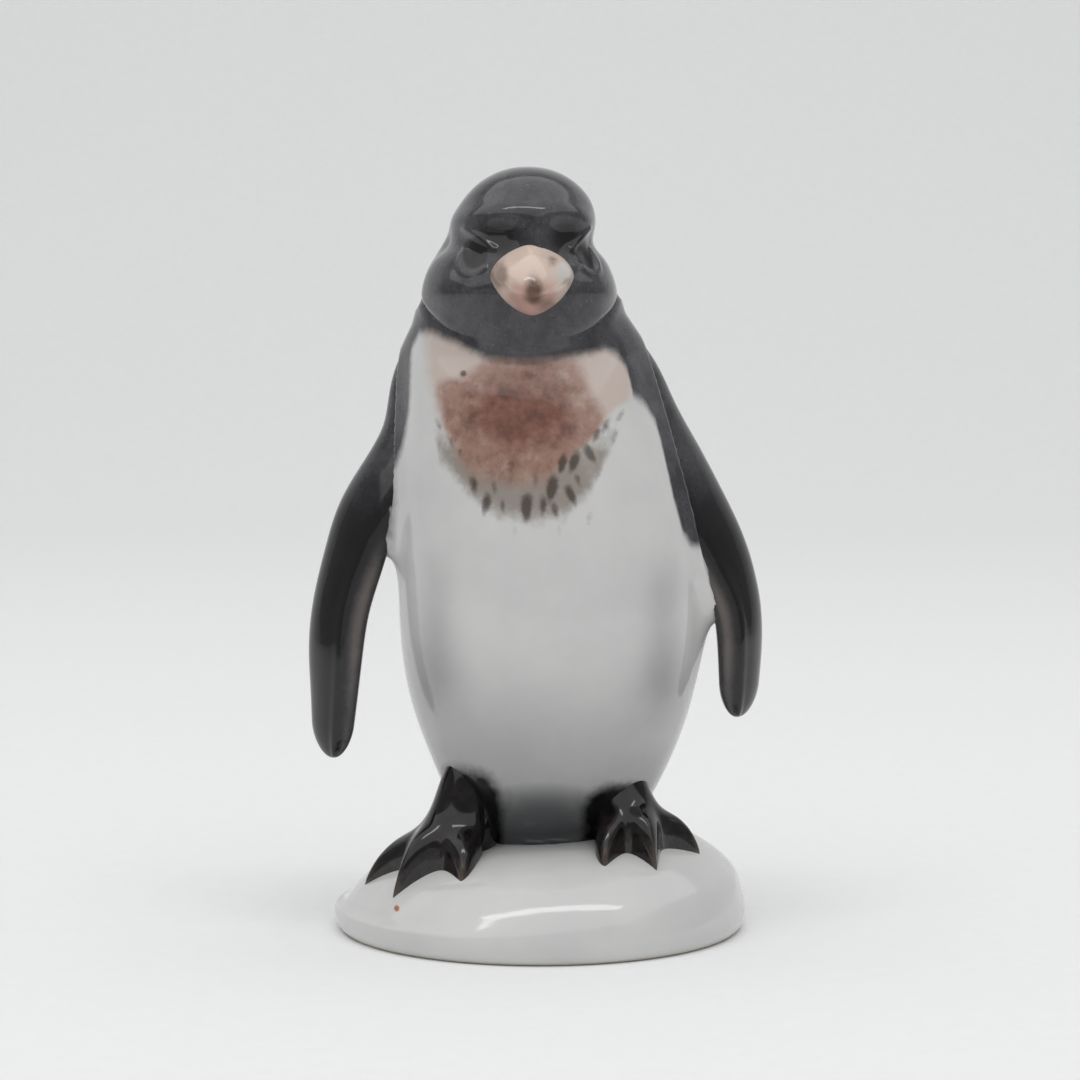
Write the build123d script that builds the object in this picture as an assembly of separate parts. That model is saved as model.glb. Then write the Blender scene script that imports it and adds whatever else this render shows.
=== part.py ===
from build123d import *
"""Porcelain penguin figurine on a domed plinth, as the slip-cast pieces it is luted together from.

Millimetres, +Z up, the penguin faces -Y. The origin is the middle of the plinth's foot plane.
Left and right are the penguin's own, so its left side is +X.
Each applied casting has a round tenon in a socket of the piece that carries it, and a ring of
fired slip fills the gap between the two.
"""
import os
from math import cos, radians, sin, tan

import numpy as np

# Joints
SLIP = 0.3
CUT_OVERRUN = 1.0

# Plinth
BASE_DIAMETER = 54.4
BASE_HEIGHT = 12.6
BASE_LEAN = 4.5
BASE_RIM_HEIGHT = 1.8
BASE_WALL = 3.0
BASE_FLOOR = 2.6
FOOT_RING_WIDTH = 2.6
FOOT_RING_HEIGHT = 1.0
BASE_VENT_DIAMETER = 5.0
# The plinth's turned profile: share of its height, share of its diameter.
BASE_PROFILE_SHARES = [
    (-0.25, 0.92),
    (0.0, 0.975),
    (0.13, 0.998),
    (0.24, 1.0),
    (0.43, 0.955),
    (0.64, 0.86),
    (0.83, 0.72),
    (0.95, 0.52),
    (1.0, 0.3),
]

# Body
SEAT_SINK = 1.0
BODY_HEIGHT = 71.4
BODY_WIDTH = 40.0
BODY_DEPTH = 38.6
BODY_WALL = 2.6
BODY_FLOOR = 3.6
BODY_SWAY = 1.4
BODY_BELLY = 0.9
SEAT_SPIGOT_DIAMETER = 9.0
SEAT_SPIGOT_LENGTH = 4.0
BODY_VENT_DIAMETER = 4.0
# Ovals of the body, from its seat to its collar: share of its height, of its width and of its depth,
# of its sideways sway, of its forward belly, and of the collar's tilt.
BODY_OVAL_SHARES = [
    (0.0, 0.43, 0.44, 0.7, -0.6, 0.0),
    (0.053, 0.61, 0.63, 0.8, -0.5, 0.0),
    (0.134, 0.765, 0.785, 0.95, -0.2, 0.0),
    (0.249, 0.92, 0.93, 1.0, 0.4, 0.0),
    (0.393, 1.0, 1.0, 0.95, 1.0, 0.0),
    (0.536, 0.985, 0.98, 0.65, 0.8, 0.0),
    (0.68, 0.915, 0.905, -0.1, 0.2, 0.1),
    (0.82, 0.825, 0.83, -1.05, -0.3, 0.4),
    (0.93, 0.73, 0.755, -1.75, -0.1, 0.85),
    (1.0, 0.65, 0.69, -2.05, 0.2, 1.0),
]

# Neck joint
NECK_TILT = 25.0
NECK_LEDGE = 0.8
NECK_SPIGOT_WALL = 2.0
NECK_SPIGOT_LENGTH = 3.0

# Head
HEAD_HEIGHT = 17.0
HEAD_WIDTH = 25.0
HEAD_DEPTH = 26.4
HEAD_WALL = 2.4
HEAD_SWAY = 2.8
HEAD_FORE = 1.0
HEAD_TURN = 11.0
# Ovals of the head above its neck plane: share of its height, of its width and of its depth,
# of its sideways sway, of its forward set, and of the neck's tilt.
HEAD_OVAL_SHARES = [
    (0.16, 0.97, 0.985, 1.0, 1.3, 0.7),
    (0.34, 0.88, 0.945, 0.95, 1.3, 0.4),
    (0.56, 0.77, 0.87, 0.78, 1.1, 0.2),
    (0.74, 0.67, 0.75, 0.67, 0.8, 0.1),
    (0.87, 0.52, 0.58, 0.62, 0.5, 0.0),
    (0.955, 0.33, 0.37, 0.6, 0.4, 0.0),
    (1.0, 0.12, 0.14, 0.6, 0.3, 0.0),
]

# Eye hollows
EYE_DIAMETER = 5.4
EYE_DEPTH = 1.2
EYE_BEARING = 42.0

# Beak
BEAK_WIDTH = 13.2
BEAK_HEIGHT = 11.2
BEAK_LENGTH = 7.2
BEAK_ROOT_DEPTH = 5.0
BEAK_LEVEL = 2.2
BEAK_HOOK = 1.5
BEAK_TENON_DIAMETER = 4.0
# How far the tenon reaches from the face towards the head's middle.
BEAK_TENON_SHARE = 0.55
# Upright ovals of the beak from its root to its tip: share of its length, width, height and hook.
BEAK_OVAL_SHARES = [
    (0.0, 1.0, 1.0, 0.0),
    (0.3, 0.8, 0.86, 0.05),
    (0.62, 0.52, 0.62, 0.25),
    (0.86, 0.28, 0.36, 0.6),
]

# Flippers: each one's top is a share of the body's height, and its reach is from the body's widest side.
FLIPPER_CHORD = 11.6
FLIPPER_THICKNESS = 4.8
FLIPPER_TENON_DIAMETER = 3.4
FLIPPER_TENON_LENGTH = 9.0
FLIPPER_FORE = 2.6
RIGHT_FLIPPER_TOP_SHARE = 0.762
RIGHT_FLIPPER_DROP = 43.4
RIGHT_FLIPPER_REACH = 7.9
RIGHT_FLIPPER_TWIST_ANGLE = 42.0
RIGHT_FLIPPER_UNTWIST_ANGLE = 20.0
LEFT_FLIPPER_TOP_SHARE = 0.86
LEFT_FLIPPER_DROP = 45.0
LEFT_FLIPPER_REACH = 7.2
LEFT_FLIPPER_TWIST_ANGLE = 38.0
LEFT_FLIPPER_UNTWIST_ANGLE = 24.0
# Ovals down each flipper: share of its drop, its spread, its chord and its thickness,
# its forward set and its untwist.
RIGHT_FLIPPER_SHARES = [
    (0.0, 0.58, 0.7, 0.9, -0.5, 0.0),
    (0.115, 0.665, 0.92, 1.15, -0.35, 0.0),
    (0.276, 0.8, 1.0, 1.1, 0.0, 0.0),
    (0.403, 0.865, 1.0, 1.05, 0.25, 0.1),
    (0.53, 0.922, 0.96, 1.0, 0.45, 0.25),
    (0.677, 0.972, 0.88, 0.92, 0.7, 0.55),
    (0.806, 0.984, 0.78, 0.85, 0.85, 0.85),
    (0.922, 0.99, 0.56, 0.66, 0.95, 1.0),
]
LEFT_FLIPPER_SHARES = [
    (0.0, 0.49, 0.6, 0.85, -0.6, 0.0),
    (0.149, 0.6, 0.85, 1.05, -0.4, 0.0),
    (0.264, 0.695, 0.96, 1.08, -0.1, 0.0),
    (0.398, 0.79, 1.0, 1.05, 0.15, 0.1),
    (0.529, 0.885, 0.98, 1.0, 0.4, 0.35),
    (0.662, 0.965, 0.9, 0.98, 0.6, 0.7),
    (0.778, 0.998, 0.82, 0.95, 0.8, 0.9),
    (0.898, 1.0, 0.64, 0.8, 0.95, 1.0),
]

# Feet
FOOT_LENGTH = 12.8
TOE_ANGLE = 47.0
TOE_DIAMETER = 6.0
CLAW_DIAMETER = 2.0
WEB_THICKNESS = 2.6
ANKLE_WIDTH = 8.4
ANKLE_DEPTH = 8.0
ANKLE_HEIGHT = 9.0
FOOT_TENON_DIAMETER = 3.2
FOOT_TENON_LENGTH = 4.2
FOOT_TENON_REACH = 6.0
RIGHT_FOOT_OUT = 9.4
RIGHT_FOOT_FORE = 3.6
RIGHT_FOOT_ANGLE = 233.0
LEFT_FOOT_OUT = 10.2
LEFT_FOOT_FORE = 1.8
LEFT_FOOT_ANGLE = 307.0
# Where the web between two toes starts and ends along a toe, and how far its scallop draws in.
WEB_REACH_SHARE = 0.84
WEB_SCALLOP_SHARE = 0.7
# Ovals along a toe: share of the foot's length, and of the way from toe to claw diameter.
TOE_OVAL_SHARES = [(0.0, 0.0), (0.45, 0.15), (0.8, 0.45), (1.0, 1.0)]

# Tail: its root is a share of the body's height and depth, its tip a share of the plinth's diameter.
TAIL_WIDTH = 13.0
TAIL_THICKNESS = 7.0
TAIL_TOP_SHARE = 0.2
TAIL_ROOT_SHARE = 0.337
TAIL_TIP_SHARE = 0.386
TAIL_TENON_DIAMETER = 3.2
# Ovals down the tail: share of the way to its tip, of its width and of its thickness.
TAIL_OVAL_SHARES = [(0.0, 0.9, 1.0), (0.35, 1.0, 0.9), (0.7, 0.75, 0.6), (1.0, 0.35, 0.3)]


def tilted_ovals(stations):
    """Smooth solid through ovals, each (centre, full width, full depth, forward tilt)."""
    sections = []
    for centre, width, depth, tilt in stations:
        sections.append(Plane(centre) * Rot(tilt, 0, 0) * Ellipse(width / 2, depth / 2))
    return loft(sections)


def swept_ovals(stations, tip=None):
    """Smooth solid through ovals square to a path, each (centre, direction across, width, thickness)."""
    path = [Vector(centre) for centre, _, _, _ in stations] + ([Vector(*tip)] if tip else [])
    sections = []
    for index, (centre, across, width, thickness) in enumerate(stations):
        ahead = path[min(index + 1, len(path) - 1)]
        behind = path[max(index - 1, 0)]
        along = (ahead - behind).normalized()
        across = Vector(across)
        square_across = across - along * across.dot(along)
        plane = Plane(origin=centre, x_dir=square_across, z_dir=along)
        sections.append(plane * Ellipse(width / 2, thickness / 2))
    return loft(sections + ([Vertex(*tip)] if tip else []))


def peg(start, direction, diameter, length, overrun=0.0):
    """Round peg from a start point along a direction, with an optional overrun past its far end."""
    plane = Plane(origin=start, z_dir=direction)
    return extrude(plane * Circle(diameter / 2), length + overrun)


def largest(shape):
    """The biggest solid that a cut leaves."""
    return max(shape.solids(), key=lambda solid: solid.volume)


def luted(applied, carrier, start, direction, diameter, length):
    """An applied casting with its tenon, the carrier with the socket, and the slip ring between them."""
    tenon = peg(start, direction, diameter, length)
    socket = peg(start, direction, diameter + 2 * SLIP, length, CUT_OVERRUN)
    slip = (carrier & socket) - tenon
    return applied + tenon, carrier - socket, slip


def dome_height(x, y):
    """Height of the plinth's mound over a point, read between its profile's rows."""
    widest = max(range(len(BASE_PROFILE_SHARES)), key=lambda index: BASE_PROFILE_SHARES[index][1])
    upper = BASE_PROFILE_SHARES[widest:][::-1]
    reach = 2 * np.hypot(x, y) / BASE_DIAMETER
    level = float(np.interp(reach, [width for _, width in upper], [height for height, _ in upper]))
    return BASE_HEIGHT * level + x * tan(radians(BASE_LEAN))


def body_oval(share_row, inset=0.0, floor=0.0):
    """One oval of the body, drawn in by an inset, with the body's floor taken off its height."""
    height, width, depth, sway, belly, tilt = share_row
    level = BASE_HEIGHT - SEAT_SINK + floor + height * (BODY_HEIGHT - floor)
    centre = (BODY_SWAY * sway, -BODY_BELLY * belly, level)
    return centre, width * BODY_WIDTH - 2 * inset, depth * BODY_DEPTH - 2 * inset, tilt * NECK_TILT


def head_oval(share_row, inset=0.0):
    """One oval of the head, drawn in by an inset."""
    height, width, depth, sway, fore, tilt = share_row
    centre = (-HEAD_SWAY * sway, -HEAD_FORE * fore, NECK_CENTRE[2] + height * HEAD_HEIGHT)
    return centre, width * HEAD_WIDTH - 2 * inset, depth * HEAD_DEPTH - 2 * inset, tilt * NECK_TILT


NECK_CENTRE, NECK_WIDTH, NECK_DEPTH, _ = body_oval(BODY_OVAL_SHARES[-1])
NECK_PLANE = Plane(NECK_CENTRE) * Rot(NECK_TILT, 0, 0)
HEAD_FRAME = Location((-HEAD_SWAY, -HEAD_FORE, NECK_CENTRE[2]), (0, 0, HEAD_TURN))


def neck_oval_prism(inset, depth, overrun=0.0):
    """Straight plug below the neck plane, drawn in from the collar's outline, with an overrun above it."""
    outline = NECK_PLANE * Ellipse(NECK_WIDTH / 2 - inset, NECK_DEPTH / 2 - inset)
    plug = extrude(outline, -depth)
    return plug + extrude(outline, overrun) if overrun else plug


def leaning_dome(inset, floor, top):
    """The plinth's turned mound, drawn in by an inset, leaning up to the left and cut off at its floor."""
    flank = []
    for height, share in BASE_PROFILE_SHARES:
        flank.append((share * BASE_DIAMETER / 2 - inset, floor + height * (top - floor)))
    bottom = flank[0][1]
    edges = [Spline(flank), Polyline(flank[-1], (0, top), (0, bottom), flank[0])]
    mound = Rot(0, -BASE_LEAN, 0) * revolve(Plane.XZ * make_face(edges), Axis.Z)
    return mound - peg((0, 0, floor), (0, 0, -1), 2 * BASE_DIAMETER, BASE_DIAMETER)


def make_plinth():
    """The whole mound on its level rim, and the shell with its closed floor, foot ring and vent."""
    foot_diameter = BASE_PROFILE_SHARES[1][1] * BASE_DIAMETER
    rim_middle = Plane((0, 0, BASE_RIM_HEIGHT / 2))
    rim = loft([Circle(foot_diameter / 2), rim_middle * Circle(BASE_DIAMETER / 2)], ruled=True)
    rim += peg(rim_middle.origin, (0, 0, 1), BASE_DIAMETER, BASE_RIM_HEIGHT / 2)
    dome = leaning_dome(0, 0, BASE_HEIGHT) + rim
    hollow = leaning_dome(BASE_WALL, BASE_FLOOR, BASE_HEIGHT - BASE_WALL)
    recess = peg((0, 0, 0), (0, 0, 1), foot_diameter - 2 * FOOT_RING_WIDTH, FOOT_RING_HEIGHT)
    vent = peg((0, 0, 0), (0, 0, 1), BASE_VENT_DIAMETER, BASE_FLOOR, CUT_OVERRUN)
    return dome, dome - hollow - recess - vent


def make_body(dome):
    """The whole body, seated on the mound, and the shell with its floor and collar bore."""
    whole = tilted_ovals([body_oval(row) for row in BODY_OVAL_SHARES]) - dome
    collar = SLIP + NECK_SPIGOT_WALL
    hollow_rows = [body_oval(row, BODY_WALL + collar * row[-1], BODY_FLOOR) for row in BODY_OVAL_SHARES]
    hollow = tilted_ovals(hollow_rows)
    bore = neck_oval_prism(BODY_WALL, NECK_SPIGOT_LENGTH + SLIP, CUT_OVERRUN)
    return whole, whole - hollow - bore


def eye_ball(side):
    """The ball that presses one eye hollow into the head, to the eye's depth."""
    height, width, depth, _, _, _ = HEAD_OVAL_SHARES[1]
    proud = EYE_DIAMETER / 2 - EYE_DEPTH
    across = sin(radians(EYE_BEARING)) * (width * HEAD_WIDTH / 2 + proud)
    fore = cos(radians(EYE_BEARING)) * (depth * HEAD_DEPTH / 2 + proud)
    return HEAD_FRAME * Location((side * across, -fore, height * HEAD_HEIGHT)) * Sphere(EYE_DIAMETER / 2)


def make_head():
    """The whole head, the shell with its neck spigot and eye hollows, and the slip under the spigot."""
    neck = (NECK_CENTRE, NECK_WIDTH - 2 * NECK_LEDGE, NECK_DEPTH - 2 * NECK_LEDGE, NECK_TILT)
    whole = tilted_ovals([neck] + [head_oval(row) for row in HEAD_OVAL_SHARES])
    throat_inset = BODY_WALL + SLIP + NECK_SPIGOT_WALL
    throat = (NECK_CENTRE, NECK_WIDTH - 2 * throat_inset, NECK_DEPTH - 2 * throat_inset, NECK_TILT)
    hollow = tilted_ovals([throat] + [head_oval(row, HEAD_WALL) for row in HEAD_OVAL_SHARES[:-1]])
    spigot = neck_oval_prism(BODY_WALL + SLIP, NECK_SPIGOT_LENGTH)
    passage = neck_oval_prism(throat_inset, NECK_SPIGOT_LENGTH + SLIP)
    shell = whole - hollow + (spigot - passage)
    for side in (-1, 1):
        shell -= eye_ball(side)
    slip = neck_oval_prism(BODY_WALL, NECK_SPIGOT_LENGTH + SLIP) - spigot - passage
    return whole, shell, slip


def make_beak(head_whole):
    """The beak, fitted to the face, with its tenon's start, direction and length."""
    face = HEAD_OVAL_SHARES[1][2] * HEAD_DEPTH / 2
    tenon_length = BEAK_ROOT_DEPTH / 2 + BEAK_TENON_SHARE * face
    sections = []
    for length, width, height, hook in BEAK_OVAL_SHARES:
        reach = face - BEAK_ROOT_DEPTH + length * (BEAK_ROOT_DEPTH + BEAK_LENGTH)
        plane = Plane(origin=(0, -reach, BEAK_LEVEL - hook * BEAK_HOOK), x_dir=(1, 0, 0), z_dir=(0, -1, 0))
        sections.append(plane * Ellipse(width * BEAK_WIDTH / 2, height * BEAK_HEIGHT / 2))
    tip = Vertex(0, -face - BEAK_LENGTH, BEAK_LEVEL - BEAK_HOOK)
    beak = HEAD_FRAME * loft(sections + [tip])
    start = HEAD_FRAME * Location((0, -face - BEAK_ROOT_DEPTH / 2, BEAK_LEVEL))
    direction = Vector(0, 1, 0).rotate(Axis.Z, HEAD_TURN)
    return largest(beak - head_whole), start.position, direction, tenon_length


def make_flipper(side, top_share, drop, reach, twist, untwist, share_rows, body_whole):
    """A flipper blade trimmed to the body, with where its tenon starts and the way it points."""
    top = BASE_HEIGHT - SEAT_SINK + top_share * BODY_HEIGHT
    spread = BODY_WIDTH / 2 + reach
    stations = []
    for down, out, chord, thickness, fore, turned in share_rows:
        lead = radians(twist - turned * untwist)
        centre = (-spread * out, -FLIPPER_FORE * fore, top - drop * down)
        across = (sin(lead), -cos(lead), 0)
        stations.append((centre, across, chord * FLIPPER_CHORD, thickness * FLIPPER_THICKNESS))
    blade = swept_ovals(stations, (-spread * share_rows[-1][1], -FLIPPER_FORE, top - drop))
    shoulder = Vector(*stations[2][0])
    if side > 0:
        blade = mirror(blade, Plane.YZ)
        shoulder.X = -shoulder.X
    return largest(blade - body_whole), shoulder, (-side, 0, 0)


def make_toe(heel, heading):
    """One toe, tapering to its claw, half sunk in the plinth's mound."""
    out = Vector(cos(radians(heading)), sin(radians(heading)))
    stations = []
    for reach, taper in TOE_OVAL_SHARES:
        spot = heel + out * (FOOT_LENGTH * reach)
        diameter = TOE_DIAMETER + taper * (CLAW_DIAMETER - TOE_DIAMETER)
        centre = (spot.X, spot.Y, dome_height(spot.X, spot.Y) + diameter / 4)
        stations.append((centre, (-out.Y, out.X, 0), diameter, diameter))
    return swept_ovals(stations), heel + out * (FOOT_LENGTH * WEB_REACH_SHARE)


def make_foot(heel, heading, dome, body_whole):
    """A webbed foot of three toes and an ankle, trimmed to the plinth and the body."""
    ground = dome_height(heel.X, heel.Y)
    bottom = Plane((heel.X, heel.Y, ground - ANKLE_HEIGHT / 2))
    foot = extrude(bottom * Ellipse(ANKLE_WIDTH / 2, ANKLE_DEPTH / 2), ANKLE_HEIGHT + ANKLE_HEIGHT / 2)
    web_points = []
    for fan in (-TOE_ANGLE, 0, TOE_ANGLE):
        toe, web_point = make_toe(heel, heading + fan)
        foot += toe
        web_points.append(web_point)
    foot += make_web(heel, web_points, dome)
    return largest(foot - body_whole - dome)


def make_web(heel, toe_points, dome):
    """The skin between the toes: a scalloped outline, one web thickness over the plinth's dome."""
    edges = [Line(heel, toe_points[0])]
    for first, second in zip(toe_points, toe_points[1:]):
        middle = (first + second) / 2
        drawn_in = heel + (middle - heel) * (1 - (1 - WEB_SCALLOP_SHARE) / 2)
        edges.append(ThreePointArc(first, drawn_in, second))
    edges.append(Line(toe_points[-1], heel))
    prism = extrude(make_face(edges), BASE_HEIGHT + WEB_THICKNESS)
    return (prism & Location((0, 0, WEB_THICKNESS)) * dome) - dome


def make_tail(dome, body_whole):
    """The tail wedge, trimmed to the body and the plinth, with its tenon's start and end."""
    tip_y = TAIL_TIP_SHARE * BASE_DIAMETER
    root_z = BASE_HEIGHT - SEAT_SINK + TAIL_TOP_SHARE * BODY_HEIGHT
    root = Vector(BODY_SWAY, TAIL_ROOT_SHARE * BODY_DEPTH, root_z)
    tip = Vector(BODY_SWAY, tip_y, dome_height(BODY_SWAY, tip_y))
    stations = []
    for along, width, thickness in TAIL_OVAL_SHARES:
        centre = root + (tip - root) * along
        stations.append((tuple(centre), (1, 0, 0), width * TAIL_WIDTH, thickness * TAIL_THICKNESS))
    wedge = swept_ovals(stations)
    return largest(wedge - body_whole - dome), Vector(stations[1][0]), root


def main():
    """Builds every piece, lutes the applied castings to their carriers and writes one file a piece."""
    dome, plinth = make_plinth()
    body_whole, body = make_body(dome)
    head_whole, head, neck_slip = make_head()
    pieces = {"neck_slip": neck_slip}

    seat = Vector(*body_oval(BODY_OVAL_SHARES[0])[0])
    seat_start = seat + Vector(0, 0, BODY_FLOOR)
    body, plinth, pieces["seat_slip"] = luted(
        body, plinth, seat_start, (0, 0, -1), SEAT_SPIGOT_DIAMETER, BODY_FLOOR + SEAT_SPIGOT_LENGTH
    )
    body -= peg(seat_start, (0, 0, -1), BODY_VENT_DIAMETER, BODY_FLOOR + SEAT_SPIGOT_LENGTH, CUT_OVERRUN)

    beak, start, direction, tenon_length = make_beak(head_whole)
    pieces["beak"], head, pieces["beak_slip"] = luted(
        beak, head, start, direction, BEAK_TENON_DIAMETER, tenon_length
    )

    flippers = {
        "right": (-1, RIGHT_FLIPPER_TOP_SHARE, RIGHT_FLIPPER_DROP, RIGHT_FLIPPER_REACH,
                  RIGHT_FLIPPER_TWIST_ANGLE, RIGHT_FLIPPER_UNTWIST_ANGLE, RIGHT_FLIPPER_SHARES),
        "left": (1, LEFT_FLIPPER_TOP_SHARE, LEFT_FLIPPER_DROP, LEFT_FLIPPER_REACH,
                 LEFT_FLIPPER_TWIST_ANGLE, LEFT_FLIPPER_UNTWIST_ANGLE, LEFT_FLIPPER_SHARES),
    }
    for side, sizes in flippers.items():
        blade, start, direction = make_flipper(*sizes, body_whole)
        pieces[f"{side}_flipper"], body, pieces[f"{side}_flipper_slip"] = luted(
            blade, body, start, direction, FLIPPER_TENON_DIAMETER, FLIPPER_TENON_LENGTH
        )

    feet = {
        "right": (Vector(-RIGHT_FOOT_OUT, -RIGHT_FOOT_FORE), RIGHT_FOOT_ANGLE),
        "left": (Vector(LEFT_FOOT_OUT, -LEFT_FOOT_FORE), LEFT_FOOT_ANGLE),
    }
    for side, (heel, heading) in feet.items():
        foot = make_foot(heel, heading, dome, body_whole)
        spot = heel + Vector(cos(radians(heading)), sin(radians(heading))) * FOOT_TENON_REACH
        start = Vector(spot.X, spot.Y, dome_height(spot.X, spot.Y) + WEB_THICKNESS)
        pieces[f"{side}_foot"], plinth, pieces[f"{side}_foot_slip"] = luted(
            foot, plinth, start, (0, 0, -1), FOOT_TENON_DIAMETER, WEB_THICKNESS + FOOT_TENON_LENGTH
        )

    tail, start, end = make_tail(dome, body_whole)
    pieces["tail"], body, pieces["tail_slip"] = luted(
        tail, body, start, end - start, TAIL_TENON_DIAMETER, (end - start).length
    )

    pieces.update(plinth_shell=plinth, body_shell=body, head_shell=head)
    os.makedirs("parts", exist_ok=True)
    for name, piece in pieces.items():
        export_step(piece, f"parts/{name}.step")


main()
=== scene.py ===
from math import radians, tan

import bpy
import numpy as np
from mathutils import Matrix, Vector


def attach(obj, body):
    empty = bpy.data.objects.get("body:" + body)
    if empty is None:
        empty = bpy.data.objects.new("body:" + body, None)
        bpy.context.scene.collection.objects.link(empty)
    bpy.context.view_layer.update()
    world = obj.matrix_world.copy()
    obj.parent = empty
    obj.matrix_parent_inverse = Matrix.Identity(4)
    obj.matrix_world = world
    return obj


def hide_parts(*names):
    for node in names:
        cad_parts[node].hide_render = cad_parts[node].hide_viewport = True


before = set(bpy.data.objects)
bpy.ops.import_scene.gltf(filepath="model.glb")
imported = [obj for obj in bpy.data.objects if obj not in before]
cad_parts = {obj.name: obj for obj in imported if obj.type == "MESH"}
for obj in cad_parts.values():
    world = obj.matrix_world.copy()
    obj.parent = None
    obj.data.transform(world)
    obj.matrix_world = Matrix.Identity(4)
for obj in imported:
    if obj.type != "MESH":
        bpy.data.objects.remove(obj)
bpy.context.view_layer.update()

bl_info = {
    "name": "Glazed porcelain penguin",
    "version": (1, 0, 0),
    "blender": (4, 5, 0),
    "location": "3D View > Sidebar > Penguin",
    "description": "Builds the glazed surfaces, painted decoration and photo stage of a porcelain penguin",
    "category": "Object",
}

# Millimetres, +Z up, the penguin faces -Y, and left and right are the penguin's own (left is +X).
MM = 0.001

# Trunk ovals from the seat to the crown: height, centre x, centre y, half width, half depth, forward tilt.
TRUNK_OVALS = np.array([
    (11.6, 0.98, 0.54, 8.6, 8.5, 0.0),
    (15.4, 1.15, 0.45, 12.2, 12.2, 0.0),
    (21.2, 1.45, 0.18, 15.3, 15.2, 0.0),
    (29.4, 1.5, -0.36, 18.3, 18.0, 0.0),
    (39.7, 1.5, -0.9, 19.9, 19.3, 0.0),
    (49.9, 1.05, -0.72, 19.6, 18.9, 0.0),
    (60.1, -0.14, -0.18, 18.3, 17.5, 2.5),
    (70.1, -1.47, 0.27, 16.5, 16.0, 10.0),
    (78.0, -2.45, 0.09, 14.6, 14.6, 21.0),
    (83.0, -2.75, -0.5, 12.6, 13.2, 25.0),
    (86.2, -2.75, -1.3, 11.9, 13.0, 16.5),
    (88.9, -2.6, -1.3, 10.95, 12.5, 10.0),
    (92.5, -2.15, -1.1, 9.6, 11.5, 5.0),
    (95.6, -1.75, -0.8, 8.35, 9.9, 2.5),
    (97.9, -1.65, -0.5, 6.35, 7.6, 0.0),
    (99.3, -1.6, -0.4, 4.0, 4.8, 0.0),
    (99.9, -1.6, -0.35, 1.9, 2.3, 0.0),
    (100.05, -1.6, -0.35, 0.0, 0.0, 0.0),
])
NECK_ROW = 9
# Rows and columns of the body's and the head's grid, and how much closer the columns stand in front.
BODY_GRID, HEAD_GRID, FRONT_CROWDING = (258, 372), (190, 380), 0.4
# Where the body starts over its seat, how many grooves both run past the neck, and the opening at the crown.
SEAT_START, NECK_OVERRUN, CROWN_GAP = 0.2, 1.4, 0.15
# Share of the neck crease that the glaze has closed in front, and the bell of angles that this covers.
SEAM_CLOSED, SEAM_CLOSED_ARC = 0.94, 0.95
# Pooled glaze: rounds and pace of its search, most lift and fade inside a neighbour as shares of its width.
POOL_ROUNDS, POOL_PACE, POOL_LIFT, POOL_FADE = 14, 0.6, 0.25, 0.45
# Slow waves of a fired glaze: their length and height.
WAVE_LENGTH, WAVE_HEIGHT = 6.0, 0.2

# Face axes: the head's middle, and the turn of its look towards the penguin's left in degrees.
HEAD_MIDDLE = np.array((-2.8, -1.0))
HEAD_TURN = 11.0

# Plinth profile over its rim: radius, height. The mound leans up towards the penguin's left.
MOUND_PROFILE = np.array([
    (26.3, 0.1), (26.9, 0.8), (27.15, 1.7), (27.15, 3.0), (26.0, 5.4), (23.4, 8.1),
    (19.6, 10.5), (14.1, 12.0), (8.2, 12.6), (0.0, 12.75),
])
MOUND_LEAN = 4.5
LEAN_FROM = 2.5
LEAN_FULL = 6.0
# The unglazed foot under it, from the vent outwards: radius, height.
FOOT_PROFILE = np.array([
    (0.0, 3.4), (2.2, 3.3), (2.45, 2.9), (2.5, 1.25), (2.7, 1.02), (5.0, 1.0), (14.0, 1.0), (23.0, 1.0),
    (23.5, 0.9), (23.7, 0.55), (23.8, 0.2), (24.0, 0.03), (24.4, 0.0), (25.2, 0.0), (25.9, 0.0),
])

# Flippers from shoulder to tip: x out from the middle, y, height, half chord, half thickness, lead angle.
RIGHT_FLIPPER = np.array([
    (12.6, 2.6, 79.5, 1.6, 1.2, 42.0),
    (15.9, 2.4, 75.5, 2.6, 1.7, 42.0),
    (16.9, 2.0, 71.0, 3.6, 2.2, 42.0),
    (17.3, 1.5, 66.0, 4.3, 2.5, 42.0),
    (19.3, 0.9, 60.6, 5.3, 2.75, 42.0),
    (22.3, 0.2, 55.2, 5.8, 2.65, 42.0),
    (24.3, -0.65, 49.2, 5.8, 2.5, 42.0),
    (26.1, -1.2, 42.4, 5.6, 2.4, 40.0),
    (26.8, -1.8, 36.4, 5.2, 2.2, 41.0),
    (27.0, -2.2, 31.0, 4.6, 2.0, 40.0),
    (27.2, -2.5, 26.4, 4.0, 1.8, 40.0),
    (27.3, -2.6, 22.7, 3.5, 1.6, 40.0),
])
LEFT_FLIPPER = np.array([
    (7.6, 2.6, 81.0, 1.4, 1.0, 38.0),
    (10.6, 2.4, 77.5, 2.4, 1.6, 38.0),
    (12.9, 2.0, 73.6, 3.4, 2.0, 38.0),
    (14.9, 1.5, 68.0, 4.4, 2.4, 38.0),
    (17.4, 0.8, 62.4, 5.4, 2.6, 38.0),
    (19.9, 0.1, 57.3, 5.7, 2.6, 39.0),
    (22.2, -0.5, 52.5, 5.8, 2.5, 40.0),
    (24.3, -1.05, 47.3, 5.6, 2.4, 39.0),
    (25.7, -1.55, 42.8, 5.2, 2.35, 33.0),
    (26.15, -2.1, 38.0, 4.8, 2.3, 31.0),
    (26.1, -2.5, 33.2, 4.3, 2.05, 32.0),
    (26.0, -2.6, 28.1, 3.8, 1.8, 32.0),
])
TIP_LENGTH = 4.6
FLIPPER_GRID = (260, 144)
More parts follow.
